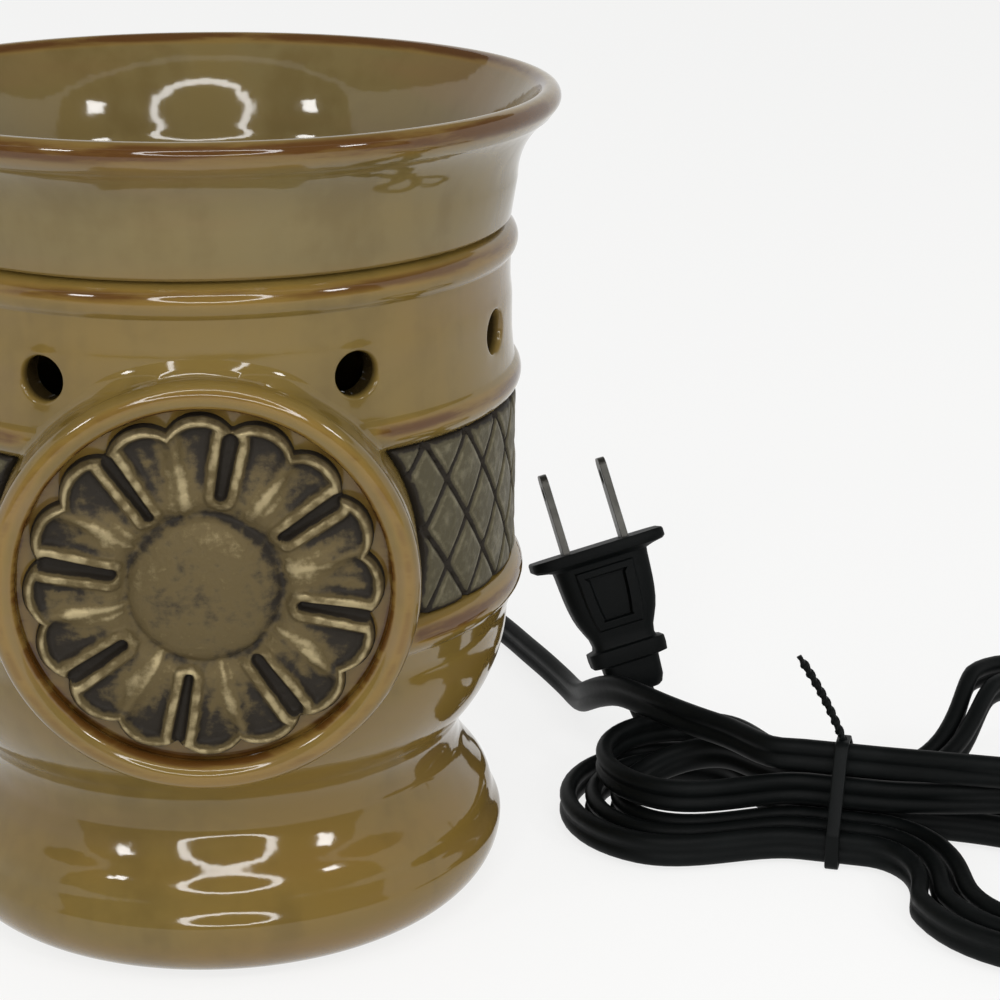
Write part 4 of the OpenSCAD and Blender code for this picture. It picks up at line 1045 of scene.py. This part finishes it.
# the switch's middle, length and nose reach, where the cord enters and leaves it, and the cord's two routes
SWITCH_MID, SWITCH_LEN, NOSE = Vector((2, 130, 0)), 56.0, 4.0
SWITCH_IN = SWITCH_MID + Vector((-SWITCH_LEN / 2 - NOSE, 0, 5))
SWITCH_OUT = SWITCH_MID + Vector((SWITCH_LEN / 2 + NOSE, 0, 5))
TO_SWITCH = [(-57, 70, 9.5), (-61.5, 78.5, 8), (-64, 88, 6.5), (-64, 98, 5.5)]
TO_SWITCH += [(-61.5, 108, 5), (-56, 117, 4.8), (-47.5, 125, 5)]
TO_HANK = [(48, 128, 4.6), (54.5, 123, 4.2), (59, 116, 4), (62.5, 107, 4), (66, 96.5, 4)]
TO_HANK += [(69.5, 86, 4), (72.5, 76, 4), (74, 67, 5), (74.5, 58.5, 7.8), (75, 50.5, 11.5)]
TO_HANK += [(76.6, 43, 15.3), (79.4, 36.5, 18), (83.2, 30.2, 18.7), (87.6, 24.2, 18.7)]
TO_HANK += [(92.6, 18.4, 18.6), (98.2, 12.8, 18.4)]


def plug_place(c, p):
    """Placing matrix of the plug at the end of the cord, with its axis upwards."""
    root = hank_lines(c)[0][0] + TO_PLUG
    return Matrix.Translation(root) @ Matrix.Rotation(-p.back, 4, "X") @ Matrix.Rotation(-p.side, 4, "Y")


def tail_line(c, p):
    """The cord's last stretch, which lifts off the table to the plug, and its broad side's directions."""
    start = hank_lines(c)[0][0]
    turn = c.hank_turn + pi + LEFT_BEND
    way = Vector((cos(turn), sin(turn), 0))
    place = plug_place(c, p)
    root, up = place.translation, place.col[2].xyz
    a, d = start + 2 * way, root - 2 * up
    b, e = a + 6 * way, d - 6 * up
    line = [start]
    for i in range(25):
        t = i / 24
        line.append((1 - t) ** 3 * a + 3 * t * (1 - t) ** 2 * b + 3 * t * t * (1 - t) * e + t**3 * d)
    line.append(root + up)
    v0, v1 = Vector((-way.y, way.x, 0)), Vector((0, -cos(p.back), sin(p.back)))
    return line, [v0.lerp(v1, i / (len(line) - 1)) for i in range(len(line))]


class WAXWARMER_OT_cord(bpy.types.Operator):
    """Flat mains cord: from the body to the switch, and on to the hank and the plug"""

    bl_idname = "wax_warmer.cord"
    bl_label = "Cord"

    def execute(self, context):
        c, p, paint = settings(context, "cord", "plug")
        vinyl = moulded_finish("Cord vinyl", paint.black, 0.42)
        way = exit_way(c)
        start = way * c.tail_reach + Vector((0, 0, c.exit_z))
        ahead = Vector((c.width, 0, 0))
        route = [start - 6 * way, start, start + c.width * way, *TO_SWITCH, SWITCH_IN - ahead, SWITCH_IN]
        lead = smooth_line(route)
        bm = swept(flat_outline(c), cord_places(lead, on_edge(lead)))
        obj = piece("cord_lead", bm, vinyl, "warmer", "cord_to_switch", slot="cord", sharp=70)
        obj["line"] = [x / 1000 for q in lead for x in q]
        hank, edges = zip(*hank_lines(c)[::-1])
        inward = c.width * (hank[1] - hank[0]).normalized()
        main = smooth_line([SWITCH_OUT, SWITCH_OUT + ahead, *TO_HANK, hank[0] - inward, hank[0]])
        edges = [None] * len(main) + list(edges[1:])
        main += hank[1:]
        flats = on_edge(main, edges)
        tail, tail_flats = tail_line(c, p)
        side = 1 if flats[-1].dot(tail_flats[0]) > 0 else -1
        main, flats = main + tail[1:], flats + [side * f for f in tail_flats[1:]]
        bm = swept(flat_outline(c), cord_places(main, flats))
        nodes = ("cord_to_hank", "cord_hank", "cord_tail")
        obj = piece("cord_main", bm, vinyl, "warmer", *nodes, slot="cord", sharp=70)
        obj["line"] = [x / 1000 for q in main for x in q]
        return {"FINISHED"}


class WAXWARMER_OT_tie(bpy.types.Operator):
    """Tie round the hank's waist, with its twisted end"""

    bl_idname = "wax_warmer.tie"
    bl_label = "Hank Tie"

    def execute(self, context):
        c, paint = settings(context, "cord")
        base, gap = c.width / 2 + c.tie_t + TIE_SLACK, TIE_SLACK + c.tie_t / 2
        h, top = c.thick / 2, c.width / 2
        level = [base + k * (c.width + c.layer_gap) for k in range(3)]
        x = [(2.5 - k) * c.pitch + h + gap for k in range(3)]
        under, over = level[0] - top - gap, level[2] + top + gap
        loop = [(-x[0], under), (x[0], under), (x[0], level[0] + top), (x[1], level[1] + top)]
        loop += [(-x[2] + 2 * h + 2 * gap, over), (-x[2], over)]
        loop += [(-x[1], level[1] + top), (-x[0], level[0] + top)]
        loop = [Vector((0, p[0], p[1])) for p in divided(softened(loop, 1.6), 2.0)]
        places = []
        for i in range(len(loop) + 1):
            q, t = loop[i % len(loop)], (loop[(i + 1) % len(loop)] - loop[i - 1]).normalized()
            if i == len(loop):
                t = (loop[1] - loop[-1]).normalized()
            n = Vector((1, 0, 0)).cross(t)
            places.append(Matrix(((1, 0, 0, q.x), (0, n.y, t.y, q.y), (0, n.z, t.z, q.z), (0, 0, 0, 1))))
        bm = swept(rounded_box(c.tie_w, c.tie_t, 0.25, 3), places, ends=False)
        root = Matrix.Translation((0, -x[2] + h + gap, over)) @ Matrix.Rotation(radians(20), 4, "Z")
        root = root @ Matrix.Rotation(radians(-28), 4, "Y")
        twist = []
        steps, tall, twists = 40, 20, 4.5
        for i in range(steps + 1):
            t = i / steps
            sway = 0.5 * sin(pi * t)
            wide = 1 - 0.45 * step(t, 0.9, 1.0)
            turned = Matrix.Rotation(twists * TURN * t, 4, "Z")
            twist.append(root @ stretch(wide, wide, 1, (sway, 0, tall * t)) @ turned)
        joined(bm, swept(rounded_box(1.8, 0.9, 0.35, 3), twist))
        moved(bm, Matrix.Translation(HANK_MID) @ Matrix.Rotation(c.hank_turn, 4, "Z"))
        plastic = moulded_finish("Tie plastic", paint.black, 0.3)
        piece("hank_tie_twist", bm, plastic, "warmer", "hank_tie", slot="black_plastic")
        return {"FINISHED"}


# height, width and thickness of the plug's sections, as shares of its own
PLUG_SECTIONS = [(-0.02, 0.30, 0.46), (0, 0.36, 0.54), (0.05, 0.40, 0.61), (0.12, 0.41, 0.62)]
PLUG_SECTIONS += [(0.19, 0.42, 0.64), (0.2, 0.56, 0.74), (0.25, 0.572, 0.76), (0.3, 0.57, 0.76)]
PLUG_SECTIONS += [(0.312, 0.47, 0.66), (0.34, 0.455, 0.64), (0.39, 0.475, 0.655), (0.44, 0.525, 0.68)]
PLUG_SECTIONS += [(0.5, 0.58, 0.72), (0.56, 0.618, 0.745), (0.63, 0.646, 0.765), (0.7, 0.664, 0.78)]
PLUG_SECTIONS += [(0.78, 0.678, 0.788), (0.86, 0.69, 0.8), (0.895, 0.7, 0.81), (0.91, 0.8, 0.86)]
PLUG_SECTIONS += [(0.925, 0.96, 0.985), (0.94, 1, 1), (0.985, 1, 1), (1, 0.985, 0.975)]
# insets, width and depth, that raise and sink the frame on the plug's two broad faces
PLUG_FRAME = ((0.3, 0.6), (2.0, 0), (0.35, -1.3))


class WAXWARMER_OT_plug(bpy.types.Operator):
    """Moulded two-pin plug with its collar, framed faces and blades"""

    bl_idname = "wax_warmer.plug"
    bl_label = "Plug"

    def execute(self, context):
        c, p, paint = settings(context, "cord", "plug")
        place = plug_place(c, p)
        half_w, half_t = p.width / 2, p.thick / 2
        places = [stretch(w * half_w, t * half_t, 1, (0, 0, z * p.length)) for z, w, t in PLUG_SECTIONS]
        bm = swept(rounded_box(2, 2, 0.36, 8), places)

        def framed(face, s):
            mid = face.calc_center_median()
            return s * face.normal.y > 0.75 and 0.47 < mid.z / p.length < 0.85 and abs(mid.x) < 0.5

        for s in (-1, 1):
            faces = [f for f in bm.faces if framed(f, s)]
            for thickness, depth in PLUG_FRAME:
                bmesh.ops.inset_region(bm, faces=faces, thickness=thickness, depth=depth)
        vinyl = moulded_finish("Plug vinyl", paint.black, 0.46)
        moved(bm, place)
        piece("plug_moulding", bm, vinyl, "warmer", "plug_body", slot="cord", sharp=32, bevel=0.22)
        bm = bmesh.new()
        half, tip, r = p.blade_w / 2, p.blade_len, 1.9
        shape = [(-half, 0), (half, 0), *arc((half - r, tip - r), r, 0, 90, 8)]
        shape += arc((r - half, tip - r), r, 90, 180, 8)
        outer = [bm.verts.new((0, y, z)) for y, z in divided(shape, 1.2)]
        edges = [bm.edges.new(pair) for pair in zip(outer, outer[1:] + outer[:1])]
        spot = Matrix.Translation((0, 0, tip - 4)) @ Matrix.Rotation(pi / 2, 4, "Y")
        hole = bmesh.ops.create_circle(bm, segments=28, radius=1.6, matrix=spot)["verts"]
        bmesh.ops.bridge_loops(bm, edges=edges + list({e for v in hole for e in v.link_edges}))
        made = bmesh.ops.extrude_face_region(bm, geom=bm.faces[:])["geom"]
        bmesh.ops.translate(bm, vec=(p.blade_t, 0, 0), verts=points_of(made))
        bmesh.ops.translate(bm, vec=(-p.blade_t / 2 - p.blade_gap / 2, 0, p.length - 0.2), verts=bm.verts[:])
        bmesh.ops.recalc_face_normals(bm, faces=bm.faces[:])
        twin = bm.copy()
        joined(bm, twin, Matrix.Translation((p.blade_gap, 0, 0)))
        metal = metal_finish("Pin metal", (0.1, 0.097, 0.088), 0.34)
        moved(bm, place)
        piece("plug_pins", bm, metal, "warmer", "plug_blades", slot="steel", sharp=35, bevel=0.15)
        return {"FINISHED"}


class WAXWARMER_OT_switch(bpy.types.Operator):
    """In-line switch: two case halves with grip ribs, and the rocker"""

    bl_idname = "wax_warmer.switch"
    bl_label = "In-line Switch"

    def execute(self, context):
        c, paint = settings(context, "cord")
        case = moulded_finish("Switch plastic", tuple(x * 1.6 for x in paint.black), 0.28)
        long, wide, low, top, wall, screw_x = SWITCH_LEN, 22.0, 9.0, 17.0, 2.2, 21.5
        shell = rounded_box(long, wide, 5, 8)

        def ring(x, y, z):
            return stretch(x / long, y / wide, 1, (0, 0, z))

        def inset(by, z):
            return ring(long - by, wide - by, z)

        tray = [(1.6, 0), (0.4, 0.4), (0, 1.2), (0, low - 0.4), (0.5, low - 0.05)]
        tray += [(2 * wall, low - 0.05), (2 * wall, wall)]
        bm = swept(shell, [inset(by, z) for by, z in tray])
        nose = ((-0.4, -1), (0.6, -1), (0.6, 2.6), (0.2, 4), (-0.4, 4))
        nose = softened([(c.width / 2 + out, z) for out, z in nose], 0.4)
        rise = [stretch(1, 1, 1, (0, 0, z)) for z in (-0.5, 0.25)] + [stretch(0.6, 0.9, 1, (0, 0, 0.5))]
        for s in (-1, 1):
            turn = Matrix.Rotation(s * pi / 2, 4, "Y")
            joined(bm, spun(nose, steps=48), Matrix.Translation((s * long / 2, 0, 5)) @ turn)
            post = [(1.6, 2), (3.6, 2), (3.6, low - 0.1), (1.6, low - 0.1)]
            joined(bm, spun(post, steps=32), Matrix.Translation((s * screw_x, 0, 0)))
            for k in range(5):
                rib = Matrix.Translation((s * (18 - 2.4 * k), -wide / 2, 4.6))
                joined(bm, swept(rounded_box(1.2, 5.5, 0.5, 4), rise), rib @ Matrix.Rotation(pi / 2, 4, "X"))
        bmesh.ops.translate(bm, vec=SWITCH_MID, verts=bm.verts[:])
        piece("switch_case_lower", bm, case, "warmer", "switch_lower", slot="black_plastic")
        window = (17.0, 9.8)
        hood = [(2 * wall, top - wall), (2 * wall, low + 0.05), (0.5, low + 0.05), (0, low + 0.4)]
        hood += [(0, top - 3), (0.5, top - 1.6), (1.9, top - 0.5), (4, top - 0.05)]
        cover = [ring(*window, top - wall), *(inset(by, z) for by, z in hood)]
        cover += [ring(window[0] + 4, window[1] + 2.6, top), ring(window[0] + 0.6, window[1] + 0.6, top)]
        cover += [ring(*window, top - 0.4), ring(*window, top - wall)]
        bm = swept(shell, cover, ends=False)
        for s in (-1, 1):
            ear = swept(rounded_box(8, 2, 0.3, 3), [stretch(1, 1, 1, (0, s * 5.9, z)) for z in (12, 14.9)])
            joined(bm, ear)
            post = [(1.6, low + 0.1), (3.6, low + 0.1), (3.6, top - 2), (0, top - 2)]
            joined(bm, spun(post, closed=False, steps=32), Matrix.Translation((s * screw_x, 0, 0)))
        bmesh.ops.translate(bm, vec=SWITCH_MID, verts=bm.verts[:])
        piece("switch_case_upper", bm, case, "warmer", "switch_upper", slot="black_plastic")
        thumb = [(7.5, 3.2), (5, 2.55), (2.5, 2.05), (0, 1.9), (-2.5, 2.05), (-5, 2.55), (-7.5, 3.2)]
        side = softened([(-7.5, -1.8), (7.5, -1.8), *thumb], 0.6)
        ends = ((-4.5, 0.95), (-4.2, 1), (4.2, 1), (4.5, 0.95))
        bm = swept(side, [stretch(k, k, 1, (0, 0.3 * (1 - k), z)) for z, k in ends])
        joined(bm, spun([(0, -6.6), (1.2, -6.6), (1.2, 6.6), (0, 6.6)], closed=False, steps=32))
        pivot = Matrix.Translation(SWITCH_MID + Vector((0, 0, 15)))
        moved(bm, pivot @ Matrix.Rotation(radians(9), 4, "Y") @ Matrix.Rotation(pi / 2, 4, "X"))
        piece("switch_key", bm, case, "rocker", "switch_rocker", slot="black_plastic")
        return {"FINISHED"}


class WAXWARMER_OT_relief(bpy.types.Operator):
    """Ribbed strain relief where the cord leaves the body"""

    bl_idname = "wax_warmer.relief"
    bl_label = "Strain Relief"

    def execute(self, context):
        c, b, paint = settings(context, "cord", "body")
        seat, end = b.foot_r - 1.6, c.tail_reach
        outline = [(0, 36), (4.1, 36), (4.1, seat), (5.8, seat)]
        outline += [(5.8, seat + 1.6), (5.3, seat + 2.1), (4.3, seat + 2.7)]
        ribs, ribbed = 7, end - seat - 4.4
        reach = ribbed / ribs
        for k in range(ribs):
            z0 = seat + 3.4 + ribbed * k / ribs
            r = 4.25 - 0.4 * k / ribs
            outline += [(r - 0.5, z0), (r, z0 + 0.3)]
            outline += [(r - 0.02, z0 + reach - 0.9), (r - 0.5, z0 + reach - 0.6)]
        outline += [(3.85, end - 0.8), (3.5, end), (0, end)]
        bm = spun(softened(outline, 0.3, closed=False), closed=False, steps=48)
        outward = Matrix.Rotation(c.exit_turn, 4, "Z") @ Matrix.Rotation(pi / 2, 4, "Y")
        moved(bm, Matrix.Translation((0, 0, c.exit_z)) @ outward)
        vinyl = moulded_finish("Relief vinyl", paint.black, 0.4)
        piece("cord_relief", bm, vinyl, "warmer", "strain_relief", slot="cord")
        return {"FINISHED"}


class WAXWARMER_OT_declare_cord(bpy.types.Operator):
    """Removes the route points stored on the two cord pieces"""

    bl_idname = "wax_warmer.declare_cord"
    bl_label = "Cord Facts"

    def execute(self, context):
        c = settings(context, "cord")[0]
        thing = bpy.data.objects
        lead, main = thing["cord_lead"], thing["cord_main"]
        for o in (lead, main):
            del o["line"]
        wide = c.width / 1000
        return {"FINISHED"}


# lamp, holder and base


class WAXWARMER_OT_lamp(bpy.types.Operator):
    """Globe lamp with its threaded cap"""

    bl_idname = "wax_warmer.lamp"
    bl_label = "Lamp"

    def execute(self, context):
        globe, r, t, cap_z, cap = 82.5, 20.0, 0.7, 39.2, 18.0
        outer = [(5.4, 48.2), (5.4, 57.3), (5.9, 58.2), *arc((0, globe), r, -65, 90, 48)[:-1], (0, globe + r)]
        inner = [(0, globe + r - t), *arc((0, globe), r - t, 88, -64, 48)]
        inner += [(5.2, 58.4), (4.7, 57.3), (4.7, 48.2)]
        bm = spun(outer + inner, steps=96)
        piece("lamp_globe", bm, lamp_glass_finish("Lamp glass"), "lamp", "lamp_glass", slot="glass")
        turns, points, threaded = 5, 8, 12.8
        thread = [(4.2, 0), (5.2, 0.3)]
        for k in range(turns * points + 1):
            z = 1.2 + threaded * k / (turns * points)
            thread.append((5.55 + 0.32 * cos(TURN * k / points), z))
        thread += [(5.75, 14.6), (5.85, cap - 0.4), (5.7, cap), (5.5, cap)]
        thread += [(5.5, 15), (4.9, 14), (4.9, 0.9), (4.2, 0.9)]
        bm = spun([(out, cap_z + z) for out, z in thread], steps=72)
        brass = metal_finish("Cap metal", (0.62, 0.52, 0.32), 0.28)
        piece("lamp_thread", bm, brass, "lamp", "lamp_cap", slot="brass", sharp=60)
        return {"FINISHED"}


class WAXWARMER_OT_fittings(bpy.types.Operator):
    """Finishes of the holder, the base and the small metal pieces"""

    bl_idname = "wax_warmer.fittings"
    bl_label = "Holder and Base"

    def execute(self, context):
        paint = context.scene.wax_warmer.finish
        zinc = metal_finish("Zinc plate", (0.55, 0.56, 0.57), 0.34)
        brass = metal_finish("Brass", (0.6, 0.43, 0.17), 0.3)
        lead = moulded_finish("Lead sleeve", tuple(c * 2 for c in paint.black), 0.45)
        plated = ["base_plate", "clamp_stud", "stud_nuts", "socket_bracket"]
        plated += ["bracket_rivet", "lamp_tip", "switch_screws"]
        finishes = {
            moulded_finish("Foot rubber", (0.012, 0.012, 0.012), 0.7, 500): ["rubber_feet"],
            porcelain_finish("Porcelain"): ["socket_cup"],
            brass: ["screw_shell", "centre_contact", "terminal_screws", "switch_contacts"],
            zinc: plated,
            metal_finish("Filament", (0.3, 0.3, 0.31), 0.5): ["lamp_filament"],
            lamp_glass_finish("Stem glass"): ["lamp_stem"],
            moulded_finish("Cap insulator", (0.02, 0.015, 0.02), 0.2): ["lamp_insulator"],
            lead: ["lamp_leads"],
        }
        for made, nodes in finishes.items():
            for node in nodes:
                mesh = frame["nodes"][node].data
                mesh.materials.clear()
                mesh.materials.append(made)
        return {"FINISHED"}


# stage

# the camera's place in metres, its lens in mm, and its yaw, pitch and roll, fitted to the photograph
CAMERA_AT, LENS, SENSOR = (0.01735, -0.4517, 0.2192), 93.34, 36
CAMERA_TURNS = (4.396, 18.064, 0.312)
# the point that the lamps face
AIM = Vector((0, 0, 0.07))
FLOOR_R = 4


class WAXWARMER_OT_stage(bpy.types.Operator):
    """Camera at the photograph's viewpoint, pale floor, soft sky and lamps"""

    bl_idname = "wax_warmer.stage"
    bl_label = "Stage"

    def execute(self, context):
        scene, paint = context.scene, context.scene.wax_warmer.finish
        scene.view_settings.view_transform = "Standard"
        lens = bpy.data.cameras.new("Camera")
        lens.lens, lens.sensor_width, lens.clip_start = LENS, SENSOR, 0.01
        yaw, pitch, roll = (radians(turn) for turn in CAMERA_TURNS)
        ahead = Vector((sin(yaw) * cos(pitch), cos(yaw) * cos(pitch), -sin(pitch)))
        right = Vector((cos(yaw), -sin(yaw), 0))
        up = right.cross(ahead)
        right, up = cos(roll) * right + sin(roll) * up, cos(roll) * up - sin(roll) * right
        camera = bpy.data.objects.new("Camera", lens)
        axes = Matrix((right, up, -ahead)).transposed().to_4x4()
        camera.matrix_world = Matrix.Translation(CAMERA_AT) @ axes
        scene.collection.objects.link(camera)
        scene.camera = camera

        bm = bmesh.new()
        bmesh.ops.create_circle(bm, cap_ends=True, segments=96, radius=FLOOR_R)
        self.staged(scene, "Floor", bm, stage_finish("Pale floor", tuple(paint.backdrop)))

        world = bpy.data.worlds.new("Soft sky")
        world.use_nodes = True
        scene.world = world
        sky = world.node_tree.nodes["Background"]
        s = Shade(world.node_tree)
        tone = s.shown().blend((0.48, 0.48, 0.476), tuple(paint.backdrop))
        world.node_tree.links.new(tone.socket, sky.inputs["Color"])

        self.ring_lamp(scene, az=3, el=31, far=1.0, outer=0.36, inner=0.295, strength=13.5)
        for name, az in (("Left lamp", -46), ("Right lamp", 50)):
            self.lamp(scene, name, az, el=33, far=1.0, wide=0.11, power=0.8)
        self.lamp(scene, "Top panel", az=0, el=75, far=1.4, wide=1.0, power=2.0, glossy=False)
        self.dark_cards(scene)
        return {"FINISHED"}

    @staticmethod
    def aimed(az, el, far):
        """The place of a lamp that faces the object from a bearing, a height and a distance."""
        a, e = radians(az), radians(el)
        at = Vector((sin(a) * cos(e), -cos(a) * cos(e), sin(e))) * far + AIM
        return Matrix.Translation(at) @ (AIM - at).to_track_quat("-Z", "Y").to_matrix().to_4x4()

    @staticmethod
    def staged(scene, name, bm, material):
        """A piece of the stage, made from a bmesh."""
        mesh = bpy.data.meshes.new(name)
        bm.to_mesh(mesh)
        bm.free()
        mesh.materials.append(material)
        obj = bpy.data.objects.new(name, mesh)
        scene.collection.objects.link(obj)
        return obj

    def lamp(self, scene, name, az, el, far, wide, power, glossy=True):
        light = bpy.data.lights.new(name, "AREA")
        light.shape, light.size, light.energy = "SQUARE", wide, power
        obj = bpy.data.objects.new(name, light)
        obj.matrix_world = self.aimed(az, el, far)
        obj.visible_glossy = glossy
        scene.collection.objects.link(obj)

    def glowing(self, scene, name, bm, shade):
        """A plain glowing sheet that the camera doesn't see and that casts no shadow."""
        glow = bpy.data.materials.new(f"{name} glow")
        glow.use_nodes = True
        tree = glow.node_tree
        tree.nodes.clear()
        lit = Shade(tree).node("ShaderNodeEmission", sockets={"Color": (1, 1, 1, 1), "Strength": shade})
        tree.links.new(lit.socket, tree.nodes.new("ShaderNodeOutputMaterial").inputs["Surface"])
        obj = self.staged(scene, name, bm, glow)
        obj.visible_camera = obj.visible_shadow = False
        return obj

    def dark_cards(self, scene):
        """Dark cards behind the camera and overhead, which keep the glaze deep; only gloss shows them."""
        for name, place in (
            ("Front_card", Matrix.Translation((0.1, -1.35, 0.6)) @ Matrix.Rotation(pi / 2, 4, "X")),
            ("Roof_card", Matrix.Translation((0, 0.7, 2.0))),
        ):
            bm = bmesh.new()
            bm.faces.new([bm.verts.new(place @ Vector((x, y, 0))) for x, y in rounded_box(6.0, 3.4, 0.8, 12)])
            self.glowing(scene, name, bm, 0.16).visible_diffuse = False

    def ring_lamp(self, scene, az, el, far, outer, inner, strength):
        bm = bmesh.new()
        ring = bmesh.ops.create_circle(bm, segments=96, radius=outer)["verts"]
        hole = bmesh.ops.create_circle(bm, segments=96, radius=inner)["verts"]
        bmesh.ops.bridge_loops(bm, edges=list({e for v in ring + hole for e in v.link_edges}))
        self.glowing(scene, "Ring_lamp", moved(bm, self.aimed(az, el, far)), strength)


class WAXWARMER_PT_panel(bpy.types.Panel):
    """Lists the pieces of the wax warmer"""

    bl_label = "Wax Warmer"
    bl_idname = "WAXWARMER_PT_panel"
    bl_space_type = "VIEW_3D"
    bl_region_type = "UI"
    bl_category = "Wax Warmer"

    def draw(self, context):
        for operator in OPERATORS:
            self.layout.operator(operator.bl_idname)
        for group in ("body", "dish", "medallion", "cord", "plug", "finish"):
            box = self.layout.box()
            box.label(text=group.title())
            held = getattr(context.scene.wax_warmer, group)
            for key in held.__annotations__:
                box.prop(held, key)


OPERATORS = (
    WAXWARMER_OT_stage,
    WAXWARMER_OT_cord,
    WAXWARMER_OT_tie,
    WAXWARMER_OT_plug,
    WAXWARMER_OT_switch,
    WAXWARMER_OT_relief,
    WAXWARMER_OT_declare_cord,
    WAXWARMER_OT_body,
    WAXWARMER_OT_dish,
    WAXWARMER_OT_rosettes,
    WAXWARMER_OT_panels,
    WAXWARMER_OT_lamp,
    WAXWARMER_OT_fittings,
)
GROUPS = (BodyShape, DishShape, MedallionShape, CordShape, PlugShape, Finishes, WarmerSettings)


def register():
    for made in (*GROUPS, *OPERATORS, WAXWARMER_PT_panel):
        bpy.utils.register_class(made)
    text = "Sizes and colours of the wax warmer"
    bpy.types.Scene.wax_warmer = PointerProperty(type=WarmerSettings, name="Wax Warmer", description=text)


def unregister():
    del bpy.types.Scene.wax_warmer
    for made in reversed((*GROUPS, *OPERATORS, WAXWARMER_PT_panel)):
        bpy.utils.unregister_class(made)


def main():
    register()
    for operator in OPERATORS:
        group, name = operator.bl_idname.split(".")
        getattr(getattr(bpy.ops, group), name)()
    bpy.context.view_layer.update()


if __name__ == "__main__":
    main()
